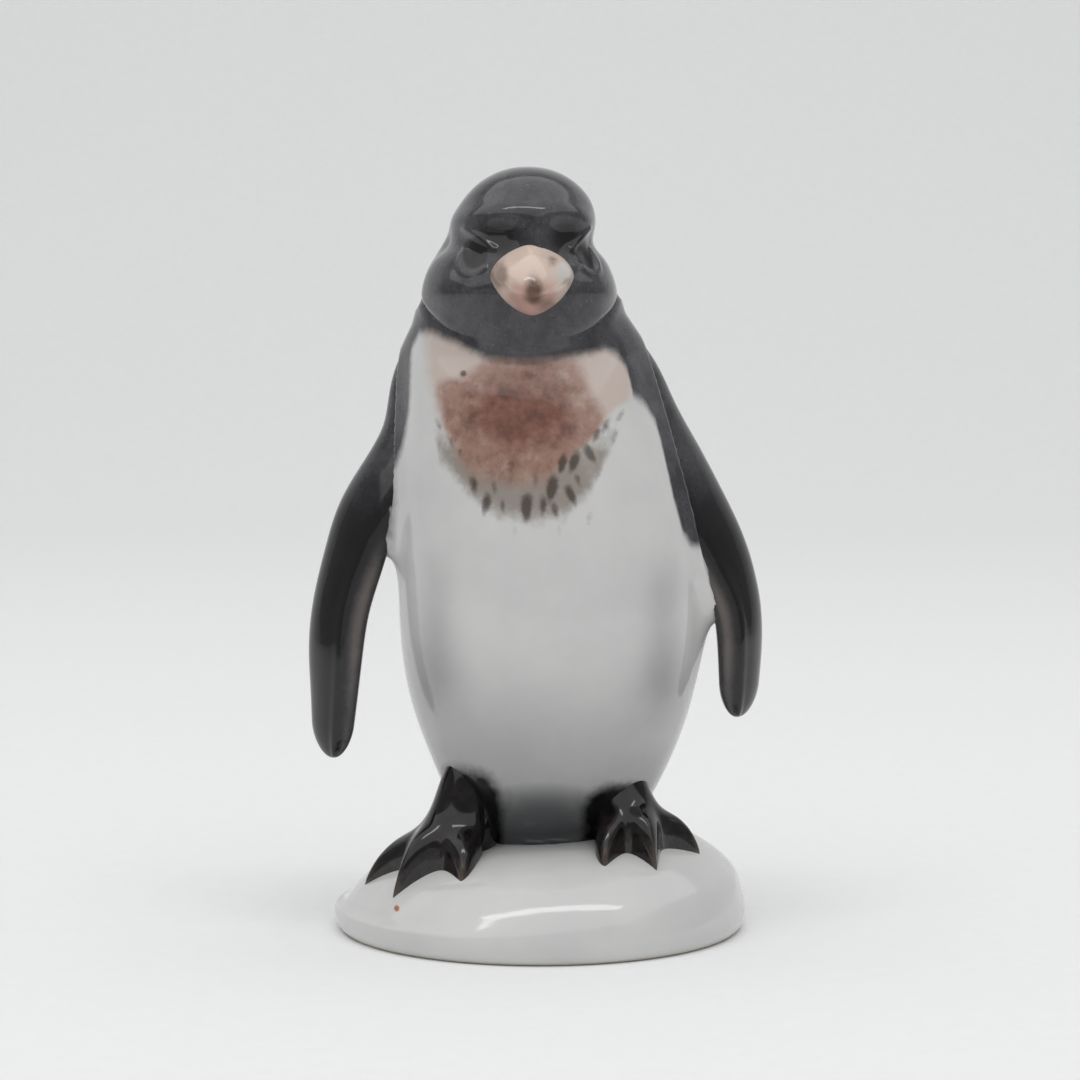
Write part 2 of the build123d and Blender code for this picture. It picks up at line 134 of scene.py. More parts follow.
# Flipper section, by the angle round it: middle and half width of the ridge, the scoop and the thin edge.
BLADE_RIDGE, BLADE_SCOOP, BLADE_EDGE = (-0.95, 0.2), (-0.35, 0.36), (0.25, 0.16)
RIDGE_SWELL, SCOOP_DEPTH, THINNEST_BLADE, CHORD_GIVE = 0.35, 0.55, 1.2, 0.35
LEAD_SIDE, LEAD_POWER = (-0.6, 1.0), 0.25
# Flipper paint. Here and below a pair runs from where a coat or form starts to where it is full.
LOW_BLADE, BLACK_BLADE, SCOOP_FOOT = (56.0, 44.0), (68.0, 50.0), (24.0, 40.0)
SCOOP_PALE, SCOOP_THIN, EDGE_THIN = 0.6, 0.75, 0.4
ARMPIT_WHITE, ARMPIT_REACH, ARMPIT_TOP, ARMPIT_SIDE = (-0.6, 0.8), 1.4, 56.0, -0.5

# Feet, as plan places: the ankle's middle, then the three toe tips from the inner one outwards.
RIGHT_FOOT = np.array([(-9.4, -7.0), (-10.1, -18.1), (-18.9, -14.5), (-23.1, -5.0)])
LEFT_FOOT = np.array([(10.0, -6.6), (8.3, -18.0), (14.9, -16.4), (20.9, -7.3)])
ANKLE_RADIUS = 3.9
ANKLE_RISES = (8.2, 7.0)
TOE_HALF_WIDTH = 2.5
FOOT_GRID, FOOT_CROWDING, FOOT_POLE = (120, 320), 0.7, 0.02
# Webs: depth of their round notches on top and of the claws' notches at the rim, as shares of the toes.
WEB_NOTCH, CLAW_NOTCH, CLAW_POWER, RIM_BLEND = 0.13, 0.34, 6, 0.3
ANKLE_FLARE, INSTEP_SHARE, INSTEP_RISE, INSTEP_RADIUS = 0.75, 0.5, 3.4, 6.2
TOE_RIDGE_WIDTH, TOE_START, TOE_END = 1.6, (0.4, 0.8), (1.12, 0.85)
LIP_POWER, LIP_SINK, LIP_DROP, SOLE_ROW, SOLE_DROP = 7, 0.3, 0.8, 25, 1.2
# Foot paint: crests and hems where the glaze runs thin, and the claws.
CREST_HALF_WIDTH, CREST_REACH, HEM_SHARE, HEM_SPREAD = 0.4, (6.0, 9.0), (0.86, 0.97), (0.5, 4.0)
CLAW_HALF_WIDTH, CLAW_TIP, THIN_STRENGTH, CLAW_STRENGTH = 1.0, (0.88, 0.98), 0.3, 0.8

# Collar's lower edge over the bib: x, height.
BIB_TOP = np.array([
    (-18.0, 78.2), (-14.2, 78.7), (-10.7, 77.3), (-6.7, 75.4), (-3.3, 75.1), (0.3, 75.1), (4.0, 75.6),
    (8.5, 76.4), (10.0, 75.8), (11.3, 73.8), (12.0, 70.6), (13.4, 69.6), (15.0, 67.0), (15.9, 63.5),
    (17.2, 57.5), (18.4, 53.0), (19.6, 51.0),
])
# Front edges of the dark back on the penguin's right and left flank: height, y.
RIGHT_BACK_EDGE = np.array([
    (10.0, 14.0), (14.0, 11.0), (20.0, 8.0), (30.0, 6.5), (43.0, 5.0), (47.0, 2.2), (53.0, 1.0),
    (58.0, -3.6), (62.0, -4.2), (69.0, -5.2), (73.0, -4.9), (76.5, -3.3), (80.0, -4.0),
])
LEFT_BACK_EDGE = np.array([
    (10.0, 14.0), (14.0, 11.0), (20.0, 8.0), (30.0, 6.5), (44.0, 5.0), (47.0, 2.5), (49.5, 0.5),
    (52.0, -2.2), (55.0, -4.4), (60.6, -5.6), (64.0, -5.0), (67.0, -4.6), (69.6, -5.6), (73.8, -6.3),
    (80.0, -8.0),
])
# Side edges of the bib on the penguin's right and left, and the lower edge of the brushed haze under it.
BIB_RIGHT = np.array([(58.0, -7.5), (62.0, -10.5), (67.4, -12.9), (73.5, -14.6), (79.0, -15.0)])
BIB_LEFT = np.array([
    (61.0, 2.0), (63.5, 5.0), (66.0, 7.6), (68.4, 9.2), (70.0, 11.6), (72.0, 12.3), (76.0, 11.4),
])
HAZE_EDGE = np.array([
    (-14.0, 66.0), (-12.9, 61.5), (-9.0, 57.1), (-5.2, 54.6), (-1.3, 53.9), (3.2, 54.6), (6.5, 57.7),
    (9.0, 62.8), (11.3, 67.8), (12.5, 71.0),
])

# Brush dabs on the breast: x, height, lean to the penguin's left in degrees, half length, strength.
BRUSH_DABS = (
    (6.3, 63.5, -32.0, 1.5, 0.95), (4.3, 62.5, 18.0, 1.6, 1.0), (2.8, 62.3, 14.0, 1.4, 0.95),
    (1.5, 59.2, 10.0, 1.9, 1.0), (3.9, 58.4, -24.0, 1.5, 0.9), (-1.7, 56.9, 2.0, 1.9, 1.0),
    (0.4, 57.2, 4.0, 1.4, 0.75), (-6.8, 57.2, 10.0, 1.6, 0.85), (-8.4, 59.6, -8.0, 1.5, 0.75),
    (-4.7, 57.0, -4.0, 1.1, 0.6), (7.2, 65.8, 24.0, 1.3, 0.65), (8.3, 66.8, 30.0, 1.3, 0.6),
    (9.4, 65.4, 20.0, 1.5, 0.45), (10.2, 68.0, 28.0, 1.4, 0.45), (-11.4, 65.0, -20.0, 1.2, 0.5),
    (-13.0, 67.0, -26.0, 1.2, 0.45), (-10.1, 63.4, -16.0, 1.2, 0.45), (-7.8, 62.8, -10.0, 1.2, 0.4),
    (-3.2, 53.9, 0.0, 1.2, 0.35), (2.4, 54.0, 6.0, 1.1, 0.3), (6.3, 55.6, 16.0, 1.2, 0.35),
    (-3.7, 61.6, 0.0, 1.8, 0.5), (1.9, 56.6, -14.0, 1.3, 0.7), (4.8, 60.2, -20.0, 1.2, 0.55),
    (7.4, 61.0, 14.0, 1.4, 0.4), (-5.8, 59.3, -6.0, 1.3, 0.5), (-0.6, 60.6, 4.0, 1.5, 0.45),
)
DAB_SLIMNESS, DAB_FLARE, DAB_POWER = 0.42, 0.25, 2.2

# Painted coats of the body. Spots are x, height, half width, half height, strength.
RUST_SPOTS = ((-2.3, 68.4, 10.6, 7.2, 1.15), (-12.5, 77.0, 4.4, 2.8, -1.0), (10.0, 73.0, 3.2, 4.0, -0.8))
BIB_SPECKS = ((-9.8, 73.5, 0.45, 0.45, 1.0),)
BIB_FLOOR, RUST_EDGE = 59.0, (-0.8, 1.4)
HAZE_FOOT, HAZE_HEAD, HAZE_TOP = (-1.2, 3.5), (13.0, 6.0), (69.0, 62.0)
SHOULDER_MARGIN, SHOULDER_FADE, SHOULDER_FLOOR = 0.5, 0.3, 52.0
# Painted shade: dark under the belly between the feet, partly a real airbrushed grey; darker towards the
# bottom of the belly; and on both flanks a painted reflection and shadow of the flippers.
SEAT_MIDDLE, SEAT_HALF_WIDTH, SEAT_SHADE = 0.5, 12.5, (27.0, 15.8)
BELLY_SHADE, BELLY_SHADE_STRENGTH = (50.0, 18.0), 0.5
FLANK_SHADE_MIDDLE, FLANK_SHADE_OUT, FLANK_SHADE_HALF_WIDTH, FLANK_SHADE_STRENGTH = 1.2, 14.6, 3.4, 0.3
FLANK_SHADE_FOOT, FLANK_SHADE_HEAD = (26.0, 36.0), (56.0, 46.0)
LEG_TOPS, LEG_FOOT, LEG_HALF_WIDTH, LEG_FRONT = (22.6, 20.6), 15.0, 4.5, -4.0
BREAST_FRONT, UNPAINTED = (2.0, -4.0), -5.0

# Plinth: columns, iron specks at the front of the rim, bare foot by height and radius, painted shade under
# the seat.
PLINTH_COLUMNS, PLINTH_SHARP = 320, 50
IRON_SPECKS = ((-18.3, 5.4, 0.45, 0.45, 1.0), (9.0, 4.0, 0.3, 0.3, 0.5))
BARE_HEIGHT, BARE_RADIUS = (0.35, 0.1), (27.5, 26.4)
PLINTH_SHADE_REACH, PLINTH_SHADE_WIDTH = 1.5, 8.5

# Face places in the turned face's own axes: sideways from the middle, and height.
EYE_MIDDLE = (7.15, 88.9)
EYE_HALF_SIZE = (1.5, 2.35)
EYE_SLANT = 0.2
LID_OUTER, LID_INNER, LID_HALF_WIDTH = (8.0, 91.8), (5.3, 89.5), 0.45
SOCKET_SIDE, SOCKET_HALF_WIDTH = 4.3, 2.3
SOCKET_TOP, SOCKET_DEEPEST, SOCKET_LEDGE, SOCKET_FLOOR = 93.8, 91.4, 90.8, 86.8
BROW_HEIGHT, BROW_HALF_HEIGHT, BROW_BOW, BROW_END = 94.4, 1.6, 0.025, (11.0, 6.0)
BRIDGE_HALF_WIDTH, BRIDGE_SPREAD, BRIDGE_TALL = 1.1, 0.3, 4.0
BRIDGE_FOOT, BRIDGE_TOP = (87.5, 89.5), (95.5, 92.5)
TEMPLE_HEIGHT, TEMPLE_HALF_HEIGHT, TEMPLE_SIDE = 90.4, 1.9, (6.6, 9.2)
CHEEK_SPOTS = ((8.2, 83.8, 4.0, 2.6, 1.0),)
CHIN_HEIGHT, CHIN_BOW, CHIN_HALF_SIZE = 78.6, 0.03, (6.0, 2.0)
# Rings of the eye, as shares of the way to its rim, and the black in eyes and sockets: pooled glaze in both,
# and painted shade in the sockets as well.
EYE_HOLLOW, EYE_RIM, EYE_RIM_WIDTH, EYE_RIM_SIDE = 0.8, 1.2, 0.22, (0.5, 1.0)
EYE_POOL, SOCKET_POOL_AND_SHADE = (1.15, 0.7), 1.2
FACE_FRONT, POOL_FRONT = (-6.0, 0.0), (0.0, 4.0)

# The beak sways back from the turned face, by this share of its reach past a start.
BEAK_SWAY, SWAY_START = 0.19, 9.5

# Tail ovals from the root to the tip: y, height, half width, half thickness.
TAIL_OVALS = np.array([
    (7.5, 33.0, 4.2, 2.4), (11.6, 27.0, 5.8, 3.2), (15.4, 21.4, 6.4, 3.1), (18.3, 15.8, 5.0, 2.3),
    (20.8, 10.4, 3.2, 1.6),
])
TAIL_GRID, TAIL_MIDDLE, TAIL_TIP_LENGTH, TAIL_TIP_GAP = (110, 110), 1.4, 3.0, 0.05
TAIL_SPINE_RISE, TAIL_SPINE_WIDTH, TAIL_DEEP, TAIL_THIN, TAIL_THIN_HEIGHT = 0.5, 1.4, 0.2, 0.3, (16.0, 11.0)

# Beak sections from the face to the tip: reach, middle height, half width, height above, depth below.
BEAK_SECTIONS = np.array([
    (8.5, 85.9, 5.6, 4.3, 5.4),
    (11.2, 85.8, 5.5, 4.0, 5.1),
    (13.4, 85.6, 4.9, 3.4, 4.5),
    (15.6, 85.2, 3.75, 2.85, 3.3),
    (17.5, 84.7, 2.6, 2.2, 2.1),
    (18.8, 84.3, 1.7, 1.6, 1.3),
    (19.6, 84.0, 0.9, 0.9, 0.7),
    (19.85, 83.9, 0.0, 0.0, 0.0),
])
BEAK_GRID, BEAK_TIP_GAP = (130, 160), 0.02
# Power of the beak's rounded diamond section, and what the top and the tip take off it.
DIAMOND_POWER, POWER_OFF_TOP, POWER_OFF_TIP, TIP_REACH, TOP_SIDE = 1.28, 0.12, 0.16, (14.0, 18.5), (-0.3, 0.3)
RIDGE_RISE, RIDGE_HALF_WIDTH, RIDGE_END, RIDGE_CLOSE = 0.45, 1.9, (20.0, 17.0), (0.0, 1.2)
# Gape line along the sides, laid only as painted shade in the crease: rise with width, drop towards the tip
# over a run, half width and end.
GAPE_RISE, GAPE_DROP, GAPE_RUN, GAPE_HALF_WIDTH, GAPE_END = 0.06, 1.1, (11.5, 19.0), 0.3, (19.4, 17.8)
# Beak paint. Spots are sideways, height, half width, half height, strength.
BEAK_WASHES = (
    (-4.2, 86.0, 1.3, 1.9, 1.2), (2.6, 87.8, 0.9, 1.0, 0.8), (1.6, 82.4, 1.6, 1.1, 0.8),
    (4.6, 85.0, 0.9, 1.0, 0.5),
)
BEAK_PALES = ((4.2, 86.4, 1.3, 1.4, 1.0), (-2.6, 82.0, 0.8, 1.0, 0.5))
# Brown on the hooked tip, and painted shadow under the hook.
BEAK_HOOK_AND_SHADOW = ((0.2, 84.0, 1.35, 1.35 / 0.62, 1.0),)
# The last value is the strength of the painted shade along the gape line.
HOOK_REACH, PINK_HEIGHT, PINK_SIDE, GAPE_SHADE = (15.0, 17.8), (86.2, 83.6), (4.2, 2.0), 0.35

# Stage in metres: half width and ends of the paper's floor, radius of its sweep, rise of its wall a share.
SWEEP_GRID, SWEEP_HALF_WIDTH, FLOOR_FRONT, FLOOR_BACK = (60, 40), 2.2, -1.4, 0.6
SWEEP_RADIUS, WALL_RISE = 0.5, 6.0
# Shares of the sweep's rows at which the floor ends and the wall starts.
FLOOR_SHARE, WALL_SHARE = 0.45, 0.7
# Lamps: name, place, aim, width, height, watts.
LAMPS = (
    ("overhead_softbox", (0.0, -0.30, 1.10), (0.0, -0.30, 0.0), 3.2, 2.2, 17.6),
    ("front_card", (0.0, -2.0, 0.35), (0.0, 0.0, 0.05), 4.0, 0.7, 2.6),
    ("ceiling_strip", (0.0, -0.27, 1.02), (0.0, 0.0, 0.08), 1.1, 0.11, 2.1),
)
ROOM_COLOUR, ROOM_STRENGTH = "#f2f4f6", 0.26
CAMERA_PLACE, CAMERA_PITCH, CAMERA_LENS, CAMERA_SENSOR = (0.0, -0.430, 0.088), 4.89, 109.3, 36.0


def linear_colour(code):
    """A hex colour as linear RGBA, by the sRGB curve."""
    share = np.array([int(code[at:at + 2], 16) / 255 for at in (1, 3, 5)])
    straight = np.where(share <= 0.04045, share / 12.92, ((share + 0.055) / 1.055) ** 2.4)
    return (*straight, 1.0)


def smooth_step(low, high, value):
    """0 below low, 1 above high, and the cubic 3t^2 - 2t^3 between them."""
    share = np.clip((value - low) / (high - low), 0, 1)
    return share * share * (3 - 2 * share)


def bell(value, width):
    """Gauss bell exp(-(value / width)^2)."""
    return np.exp(-(value / width) ** 2)


def spots(x, z, rows):
    """Sum of soft oval spots: for each row its strength times a bell across times a bell up."""
    return sum(
        strength * bell(x - at_x, wide) * bell(z - at_z, tall) for at_x, at_z, wide, tall, strength in rows
    )


def chord_knots(rows):
    """Running length of the polyline through rows, as spline knots."""
    steps = np.linalg.norm(np.diff(rows, axis=0), axis=1)
    return np.concatenate([[0.0], np.cumsum(steps)])


def natural_spline(knots, rows, at):
    """Cubic through rows at knots with a continuous second derivative, which is zero at both ends."""
    at = np.asarray(at, float)
    step = np.diff(knots)
    slope = np.diff(rows, axis=0) / step[:, None]
    system = np.eye(len(knots))
    inner = np.arange(1, len(knots) - 1)
    system[inner, inner - 1] = step[:-1]
    system[inner, inner] = 2 * (step[:-1] + step[1:])
    system[inner, inner + 1] = step[1:]
    pull = np.zeros_like(rows)
    pull[1:-1] = 6 * np.diff(slope, axis=0)
    bend = np.linalg.solve(system, pull)
    left = np.clip(np.searchsorted(knots, at.ravel()) - 1, 0, len(step) - 1)
    run, span = (at.ravel() - knots[left])[:, None], step[left][:, None]
    curve = rows[left] + run * (slope[left] - span * (2 * bend[left] + bend[left + 1]) / 6)
    curve += run ** 2 * bend[left] / 2 + run ** 3 * (bend[left + 1] - bend[left]) / (6 * span)
    return curve.reshape(*at.shape, rows.shape[1])


def mirrored_ovals(rows, flipped):
    """Rows carried on past a closed end with the flipped columns negative, so that a spline closes round."""
    turned = rows[-2:-5:-1].copy()
    turned[:, flipped] *= -1
    return np.vstack([rows, turned])


TRUNK_ROWS = mirrored_ovals(TRUNK_OVALS, [3, 4])
TRUNK_KNOTS = chord_knots(TRUNK_ROWS[:, [0, 3]])
CROWN = TRUNK_KNOTS[len(TRUNK_OVALS) - 1]
NECK = TRUNK_KNOTS[NECK_ROW]
BEAK_ROWS = mirrored_ovals(BEAK_SECTIONS, [2, 3, 4])
BEAK_KNOTS = chord_knots(BEAK_ROWS[:, [0, 2]])


def trunk_grid(along, around):
    """Tilted ovals: p = centre + turn about X by the tilt of (a cos q, b sin q, 0), one oval a row."""
    height, mid_x, mid_y, wide, deep, tilt = natural_spline(TRUNK_KNOTS, TRUNK_ROWS, along).T[..., None]
    across, fore = wide * np.cos(around), deep * np.sin(around)
    lean = np.radians(tilt)
    return np.stack([mid_x + across, mid_y + fore * np.cos(lean), height + fore * np.sin(lean)], -1)


def grid_normals(grid):
    """Unit normals of a grid closed along its columns: the cross of its two central differences."""
    round_step = np.roll(grid, -1, 1) - np.roll(grid, 1, 1)
    normal = np.cross(round_step, np.gradient(grid, axis=0))
    return normal / np.maximum(np.linalg.norm(normal, axis=-1, keepdims=True), 1e-9)


def oval_distance(across, fore, wide, deep):
    """First-order distance to an oval: (F - 1) / |grad F| for F = |(across / wide, fore / deep)|."""
    level = np.hypot(across / wide, fore / deep)
    steep = np.hypot(across / wide ** 2, fore / deep ** 2) / np.maximum(level, 1e-6)
    return (level - 1) / np.maximum(steep, 1e-6)


FIELD_AT = np.linspace(0, CROWN, 700)
FIELD_ROWS = natural_spline(TRUNK_KNOTS, TRUNK_ROWS, FIELD_AT)


def trunk_distance(points):
    """Distance to the trunk, from the oval whose tilted plane holds the point."""
    x, y, z = points[..., 0], points[..., 1], points[..., 2]
    level = z
    for _ in range(4):
        mid_y, tilt = (np.interp(level, FIELD_ROWS[:, 0], FIELD_ROWS[:, column]) for column in (2, 5))
        level = z - (y - mid_y) * np.tan(np.radians(tilt))
    mid_x, mid_y, wide, deep = (np.interp(level, FIELD_ROWS[:, 0], FIELD_ROWS[:, c]) for c in (1, 2, 3, 4))
    return oval_distance(x - mid_x, y - mid_y, np.maximum(wide, 0.5), np.maximum(deep, 0.5))


MOUND_KNOTS = chord_knots(MOUND_PROFILE)
MOUND_CURVE = natural_spline(MOUND_KNOTS, MOUND_PROFILE, np.linspace(0, MOUND_KNOTS[-1], 160))
MOUND_CURVE[:, 0] = np.clip(MOUND_CURVE[:, 0], 0, None)


def leaning(x, height):
    """The lift of the leaning mound: x tan(lean), growing in over the rim."""
    return x * tan(radians(MOUND_LEAN)) * smooth_step(LEAN_FROM, LEAN_FULL, height)


def mound_height(x, y):
    """Height of the plinth's top over a point of the plan."""
    widest = np.argmax(MOUND_CURVE[:, 0])
    top = MOUND_CURVE[widest:][::-1]
    height = np.interp(np.hypot(x, y), top[:, 0], top[:, 1])
    return height + leaning(x, height)


def mound_distance(points):
    """Distance to the plinth's top: the height over it times the cosine of its slope."""
    x, y, z = points[..., 0], points[..., 1], points[..., 2]
    step = 0.2
    slope_x = (mound_height(x + step, y) - mound_height(x - step, y)) / (2 * step)
    slope_y = (mound_height(x, y + step) - mound_height(x, y - step)) / (2 * step)
    return (z - mound_height(x, y)) / np.sqrt(1 + slope_x ** 2 + slope_y ** 2)


def blade_frames(rows, count):
    """Places down a flipper: centre, way across the chord, way through the blade, half chord, half thickness.

    The path is a spline through the rows, and both half sizes close as an oval over the tip.
    """
    knots = chord_knots(rows[:, :3])
    at = knots[-1] * (1 - (1 - np.linspace(0, 1, count)) ** 1.5)
    path = natural_spline(knots, rows, at)
    along = np.gradient(path[:, :3], axis=0)
    along /= np.linalg.norm(along, axis=1, keepdims=True)
    lead = np.radians(path[:, 5])
    across = np.stack([-np.sin(lead), -np.cos(lead), np.zeros(count)], -1)
    across -= along * np.sum(across * along, 1, keepdims=True)
    across /= np.linalg.norm(across, axis=1, keepdims=True)
    through = np.cross(along, across)
    closing = np.sqrt(1 - np.clip(1 - (knots[-1] - at) / TIP_LENGTH, 0, 1) ** 2)
    return path[:, :3], across, through, path[:, 3] * closing, path[:, 4] * closing


def blade_distance(rows, side):
    """Distance to a flipper as a function of points, from its level slices."""
    centre, across, through, chord, thick = blade_frames(rows, 240)
    lean = np.maximum(np.hypot(through[:, 0], through[:, 1]), 0.5)
    flat = through[:, :2] / np.linalg.norm(through[:, :2], axis=1, keepdims=True)
    table = np.column_stack([centre[:, :2], flat, chord, thick / lean, lean])[::-1]
    levels = centre[::-1, 2]

    def distance(points):
        x, y, z = side * points[..., 0], points[..., 1], points[..., 2]
        mid_x, mid_y, out_x, out_y, wide, deep, cosine = (
            np.interp(z, levels, table[:, column]) for column in range(7)
        )
        dx, dy = x - mid_x, y - mid_y
        level = oval_distance(dx * -out_y + dy * out_x, dx * out_x + dy * out_y,
                              np.maximum(wide, 0.3), np.maximum(deep, 0.3))
        return np.maximum(level * cosine, np.maximum(z - levels[-1], levels[0] - z))

    return distance


def glazed_over(grid, neighbours, width):
    """Carries a surface out along its normals to the smooth union with its neighbours, as pooled glaze does.

    The union is min(t, d) - (w / 4)(1 - |t - d| / w)^2 for travel t, neighbour distance d and width w.
    Inside a neighbour the travel fades out, so that the surface runs on under it.
    """
    normal = grid_normals(grid)
    travel = np.zeros(grid.shape[:2])
    start = np.minimum.reduce([distance(grid) for distance in neighbours])
    for _ in range(POOL_ROUNDS):
        near = np.minimum.reduce([distance(grid + normal * travel[..., None]) for distance in neighbours])
        share = np.clip(1 - np.abs(travel - near) / width, 0, 1)
        travel -= POOL_PACE * (np.minimum(travel, near) - width * share ** 2 / 4)
        travel = np.clip(travel, 0, width)
    travel = np.minimum(travel, np.maximum(start, 0) + POOL_LIFT * width)
    travel *= smooth_step(-POOL_FADE * width, 0.0, start)
    return grid + normal * travel[..., None]


def glazed_mesh(name, grid, masks):
    """A closed mesh from a grid that wraps along its columns, each end closed to the middle of its ring."""
    rows, columns = grid.shape[:2]
    ends = np.stack([grid[0].mean(0), grid[-1].mean(0)])
    points = np.vstack([grid.reshape(-1, 3), ends]) * MM
    index = np.arange(rows * columns).reshape(rows, columns)
    following = np.roll(index, -1, 1)
    quads = np.stack([index[:-1], following[:-1], following[1:], index[1:]], -1).reshape(-1, 4)
    first, last = rows * columns, rows * columns + 1
    low = np.stack([np.full(columns, first), following[0], index[0]], -1)
    high = np.stack([index[-1], following[-1], np.full(columns, last)], -1)
    corner = points[quads]
    volume = np.sum(corner[:, 0] * np.cross(corner[:, 1], corner[:, 2]))
    volume += np.sum(corner[:, 0] * np.cross(corner[:, 2], corner[:, 3]))
    if volume < 0:
        quads, low, high = quads[:, ::-1], low[:, ::-1], high[:, ::-1]
    mesh = bpy.data.meshes.new(name)
    mesh.from_pydata(points, [], quads.tolist() + low.tolist() + high.tolist())
    mesh.validate()
    mesh.shade_smooth()
    for mask, value in masks.items():
        layer = mesh.attributes.new(mask, "FLOAT", "POINT")
        full = np.concatenate([value.ravel(), [value[0].mean(), value[-1].mean()]])
        layer.data.foreach_set("value", full.astype(np.float32))
    return mesh


def add_piece(name, grid, masks, material, node_name):
    """Adds one glazed piece in place of its CAD node, riding on the figurine's one body."""
    piece = bpy.data.objects.new(name, glazed_mesh(name, grid, masks))
    bpy.context.scene.collection.objects.link(piece)
    piece.data.materials.append(material)
    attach(piece, "root")
    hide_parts(node_name)
    return piece


def front_angles(count, crowding):
    """Angles round the trunk, closer together in front: q - crowding sin q about the front."""
    turn = np.linspace(-np.pi, np.pi, count, endpoint=False)
    return turn - crowding * np.sin(turn) - np.pi / 2


def face_places(grid):
    """Sideways and forward places in the turned face's own axes, and the height."""
    turn = radians(HEAD_TURN)
    offset = grid[..., :2] - HEAD_MIDDLE
    sideways = offset @ np.array((np.cos(turn), np.sin(turn)))
    forward = offset @ np.array((np.sin(turn), -np.cos(turn)))
    return sideways, forward, grid[..., 2]


def segment_distance(x, y, start, end):
    """Distance from points of a plane to a straight segment."""
    span = np.subtract(end, start)
    share = np.clip(((x - start[0]) * span[0] + (y - start[1]) * span[1]) / (span @ span), 0, 1)
    return np.hypot(x - start[0] - share * span[0], y - start[1] - share * span[1])


def eye_ring(wing, height):
    """Share of the way from the middle of the slanted eye oval to its rim."""
    up = height - EYE_MIDDLE[1]
    return np.hypot((wing - EYE_MIDDLE[0] + EYE_SLANT * up) / EYE_HALF_SIZE[0], up / EYE_HALF_SIZE[1])


def socket_share(wing, height):
    """Socket under the brow: a bell sideways, stepping in under the brow and easing out towards the beak."""
    under = smooth_step(SOCKET_TOP, SOCKET_DEEPEST, height) * smooth_step(SOCKET_FLOOR, SOCKET_LEDGE, height)
    return bell(wing - SOCKET_SIDE, SOCKET_HALF_WIDTH) * under


def face_relief(grid, sizes):
    """Relief of the face: bells for brow, bridge, lids, rims, cheeks, chin, less sockets, eyes, temples."""
    side, forward, height = face_places(grid)
    wing = np.abs(side)
    brow = bell(height - BROW_HEIGHT + BROW_BOW * side ** 2, BROW_HALF_HEIGHT) * smooth_step(*BROW_END, wing)
    wedge = BRIDGE_HALF_WIDTH + BRIDGE_SPREAD * np.clip(height - BRIDGE_FOOT[1], 0, BRIDGE_TALL)
    bridge = bell(side, wedge) * smooth_step(*BRIDGE_FOOT, height) * smooth_step(*BRIDGE_TOP, height)
    lid = bell(segment_distance(wing, height, LID_OUTER, LID_INNER), LID_HALF_WIDTH)
    ring = eye_ring(wing, height)
    below = wing - EYE_MIDDLE[0] - height + EYE_MIDDLE[1]
    rim = bell(ring - EYE_RIM, EYE_RIM_WIDTH) * smooth_step(*EYE_RIM_SIDE, below)
    temple = bell(height - TEMPLE_HEIGHT, TEMPLE_HALF_HEIGHT) * smooth_step(*TEMPLE_SIDE, wing)
    cheek = spots(wing, height, CHEEK_SPOTS)
    hang = height - CHIN_HEIGHT - CHIN_BOW * side ** 2
    chin = bell(side, CHIN_HALF_SIZE[0]) * bell(hang, CHIN_HALF_SIZE[1])
    relief = sizes.brow_rise * brow + sizes.bridge_rise * bridge + sizes.lid_rise * lid + sizes.rim_rise * rim
    relief += sizes.cheek_rise * cheek + sizes.chin_rise * chin - sizes.temple_depth * temple
    relief -= sizes.socket_depth * socket_share(wing, height) + sizes.eye_depth * bell(ring, EYE_HOLLOW)
    return smooth_step(*FACE_FRONT, forward) * relief / MM


def eye_paint(grid):
    """Black pooled in the eye hollows, and black with painted shade in the sockets under the brow, as shares.
    """
    side, forward, height = face_places(grid)
    wing = np.abs(side)
    socket, eye = SOCKET_POOL_AND_SHADE * socket_share(wing, height), smooth_step(*EYE_POOL, eye_ring(wing, height))
    return np.clip(np.maximum(socket, eye), 0, 1) * smooth_step(*POOL_FRONT, forward)


def seam_dive(distance, groove, around):
    """Inward dive at the neck seam: m (r - d)^2 / 2r for a distance d short of the groove's width r.

    The slope m falls almost to nothing under the beak, where the glaze has closed the crease.
    """
    slope = 1 - SEAM_CLOSED * bell(np.angle(np.exp(1j * (around + np.pi / 2))), SEAM_CLOSED_ARC)
    short = np.maximum(groove - distance[:, None], 0)
    return slope * short ** 2 / (2 * groove)


def add_node(tree, kind, inputs=None, output=0, **settings):
    """Adds one node with its settings, sets or links its inputs, and gives back one of its outputs."""
    made = tree.nodes.new(kind)
    for setting, value in settings.items():
        setattr(made, setting, value)
    for socket, value in (inputs or {}).items():
        if isinstance(value, bpy.types.NodeSocket):
            tree.links.new(value, made.inputs[socket])
        else:
            made.inputs[socket].default_value = value
    return made.outputs[output]


def new_finish(name):
    """A new node material with its tree, its shader and its object coordinates."""
    material = bpy.data.materials.new(name)
    material.use_nodes = True
    tree = material.node_tree
    place = add_node(tree, "ShaderNodeTexCoord", output="Object")
    return material, tree, tree.nodes["Principled BSDF"], place


def cloud_coat(tree, place, under, over, grain, span, most=1.0):
    """Breaks up a coat with clouds or dots of another: noise of a grain in millimetres, eased over a span."""
    noise = {"Vector": place, "Scale": 1 / (grain * MM), "Detail": 3.0, "Roughness": 0.6}
    share = add_node(tree, "ShaderNodeTexNoise", noise, "Fac")
    ease = {"Value": share, "From Min": span[0], "From Max": span[1], "To Max": most}
    share = add_node(tree, "ShaderNodeMapRange", ease, interpolation_type="SMOOTHSTEP")
    return add_node(tree, "ShaderNodeMix", {0: share, 6: under, 7: over}, 2, data_type="RGBA")


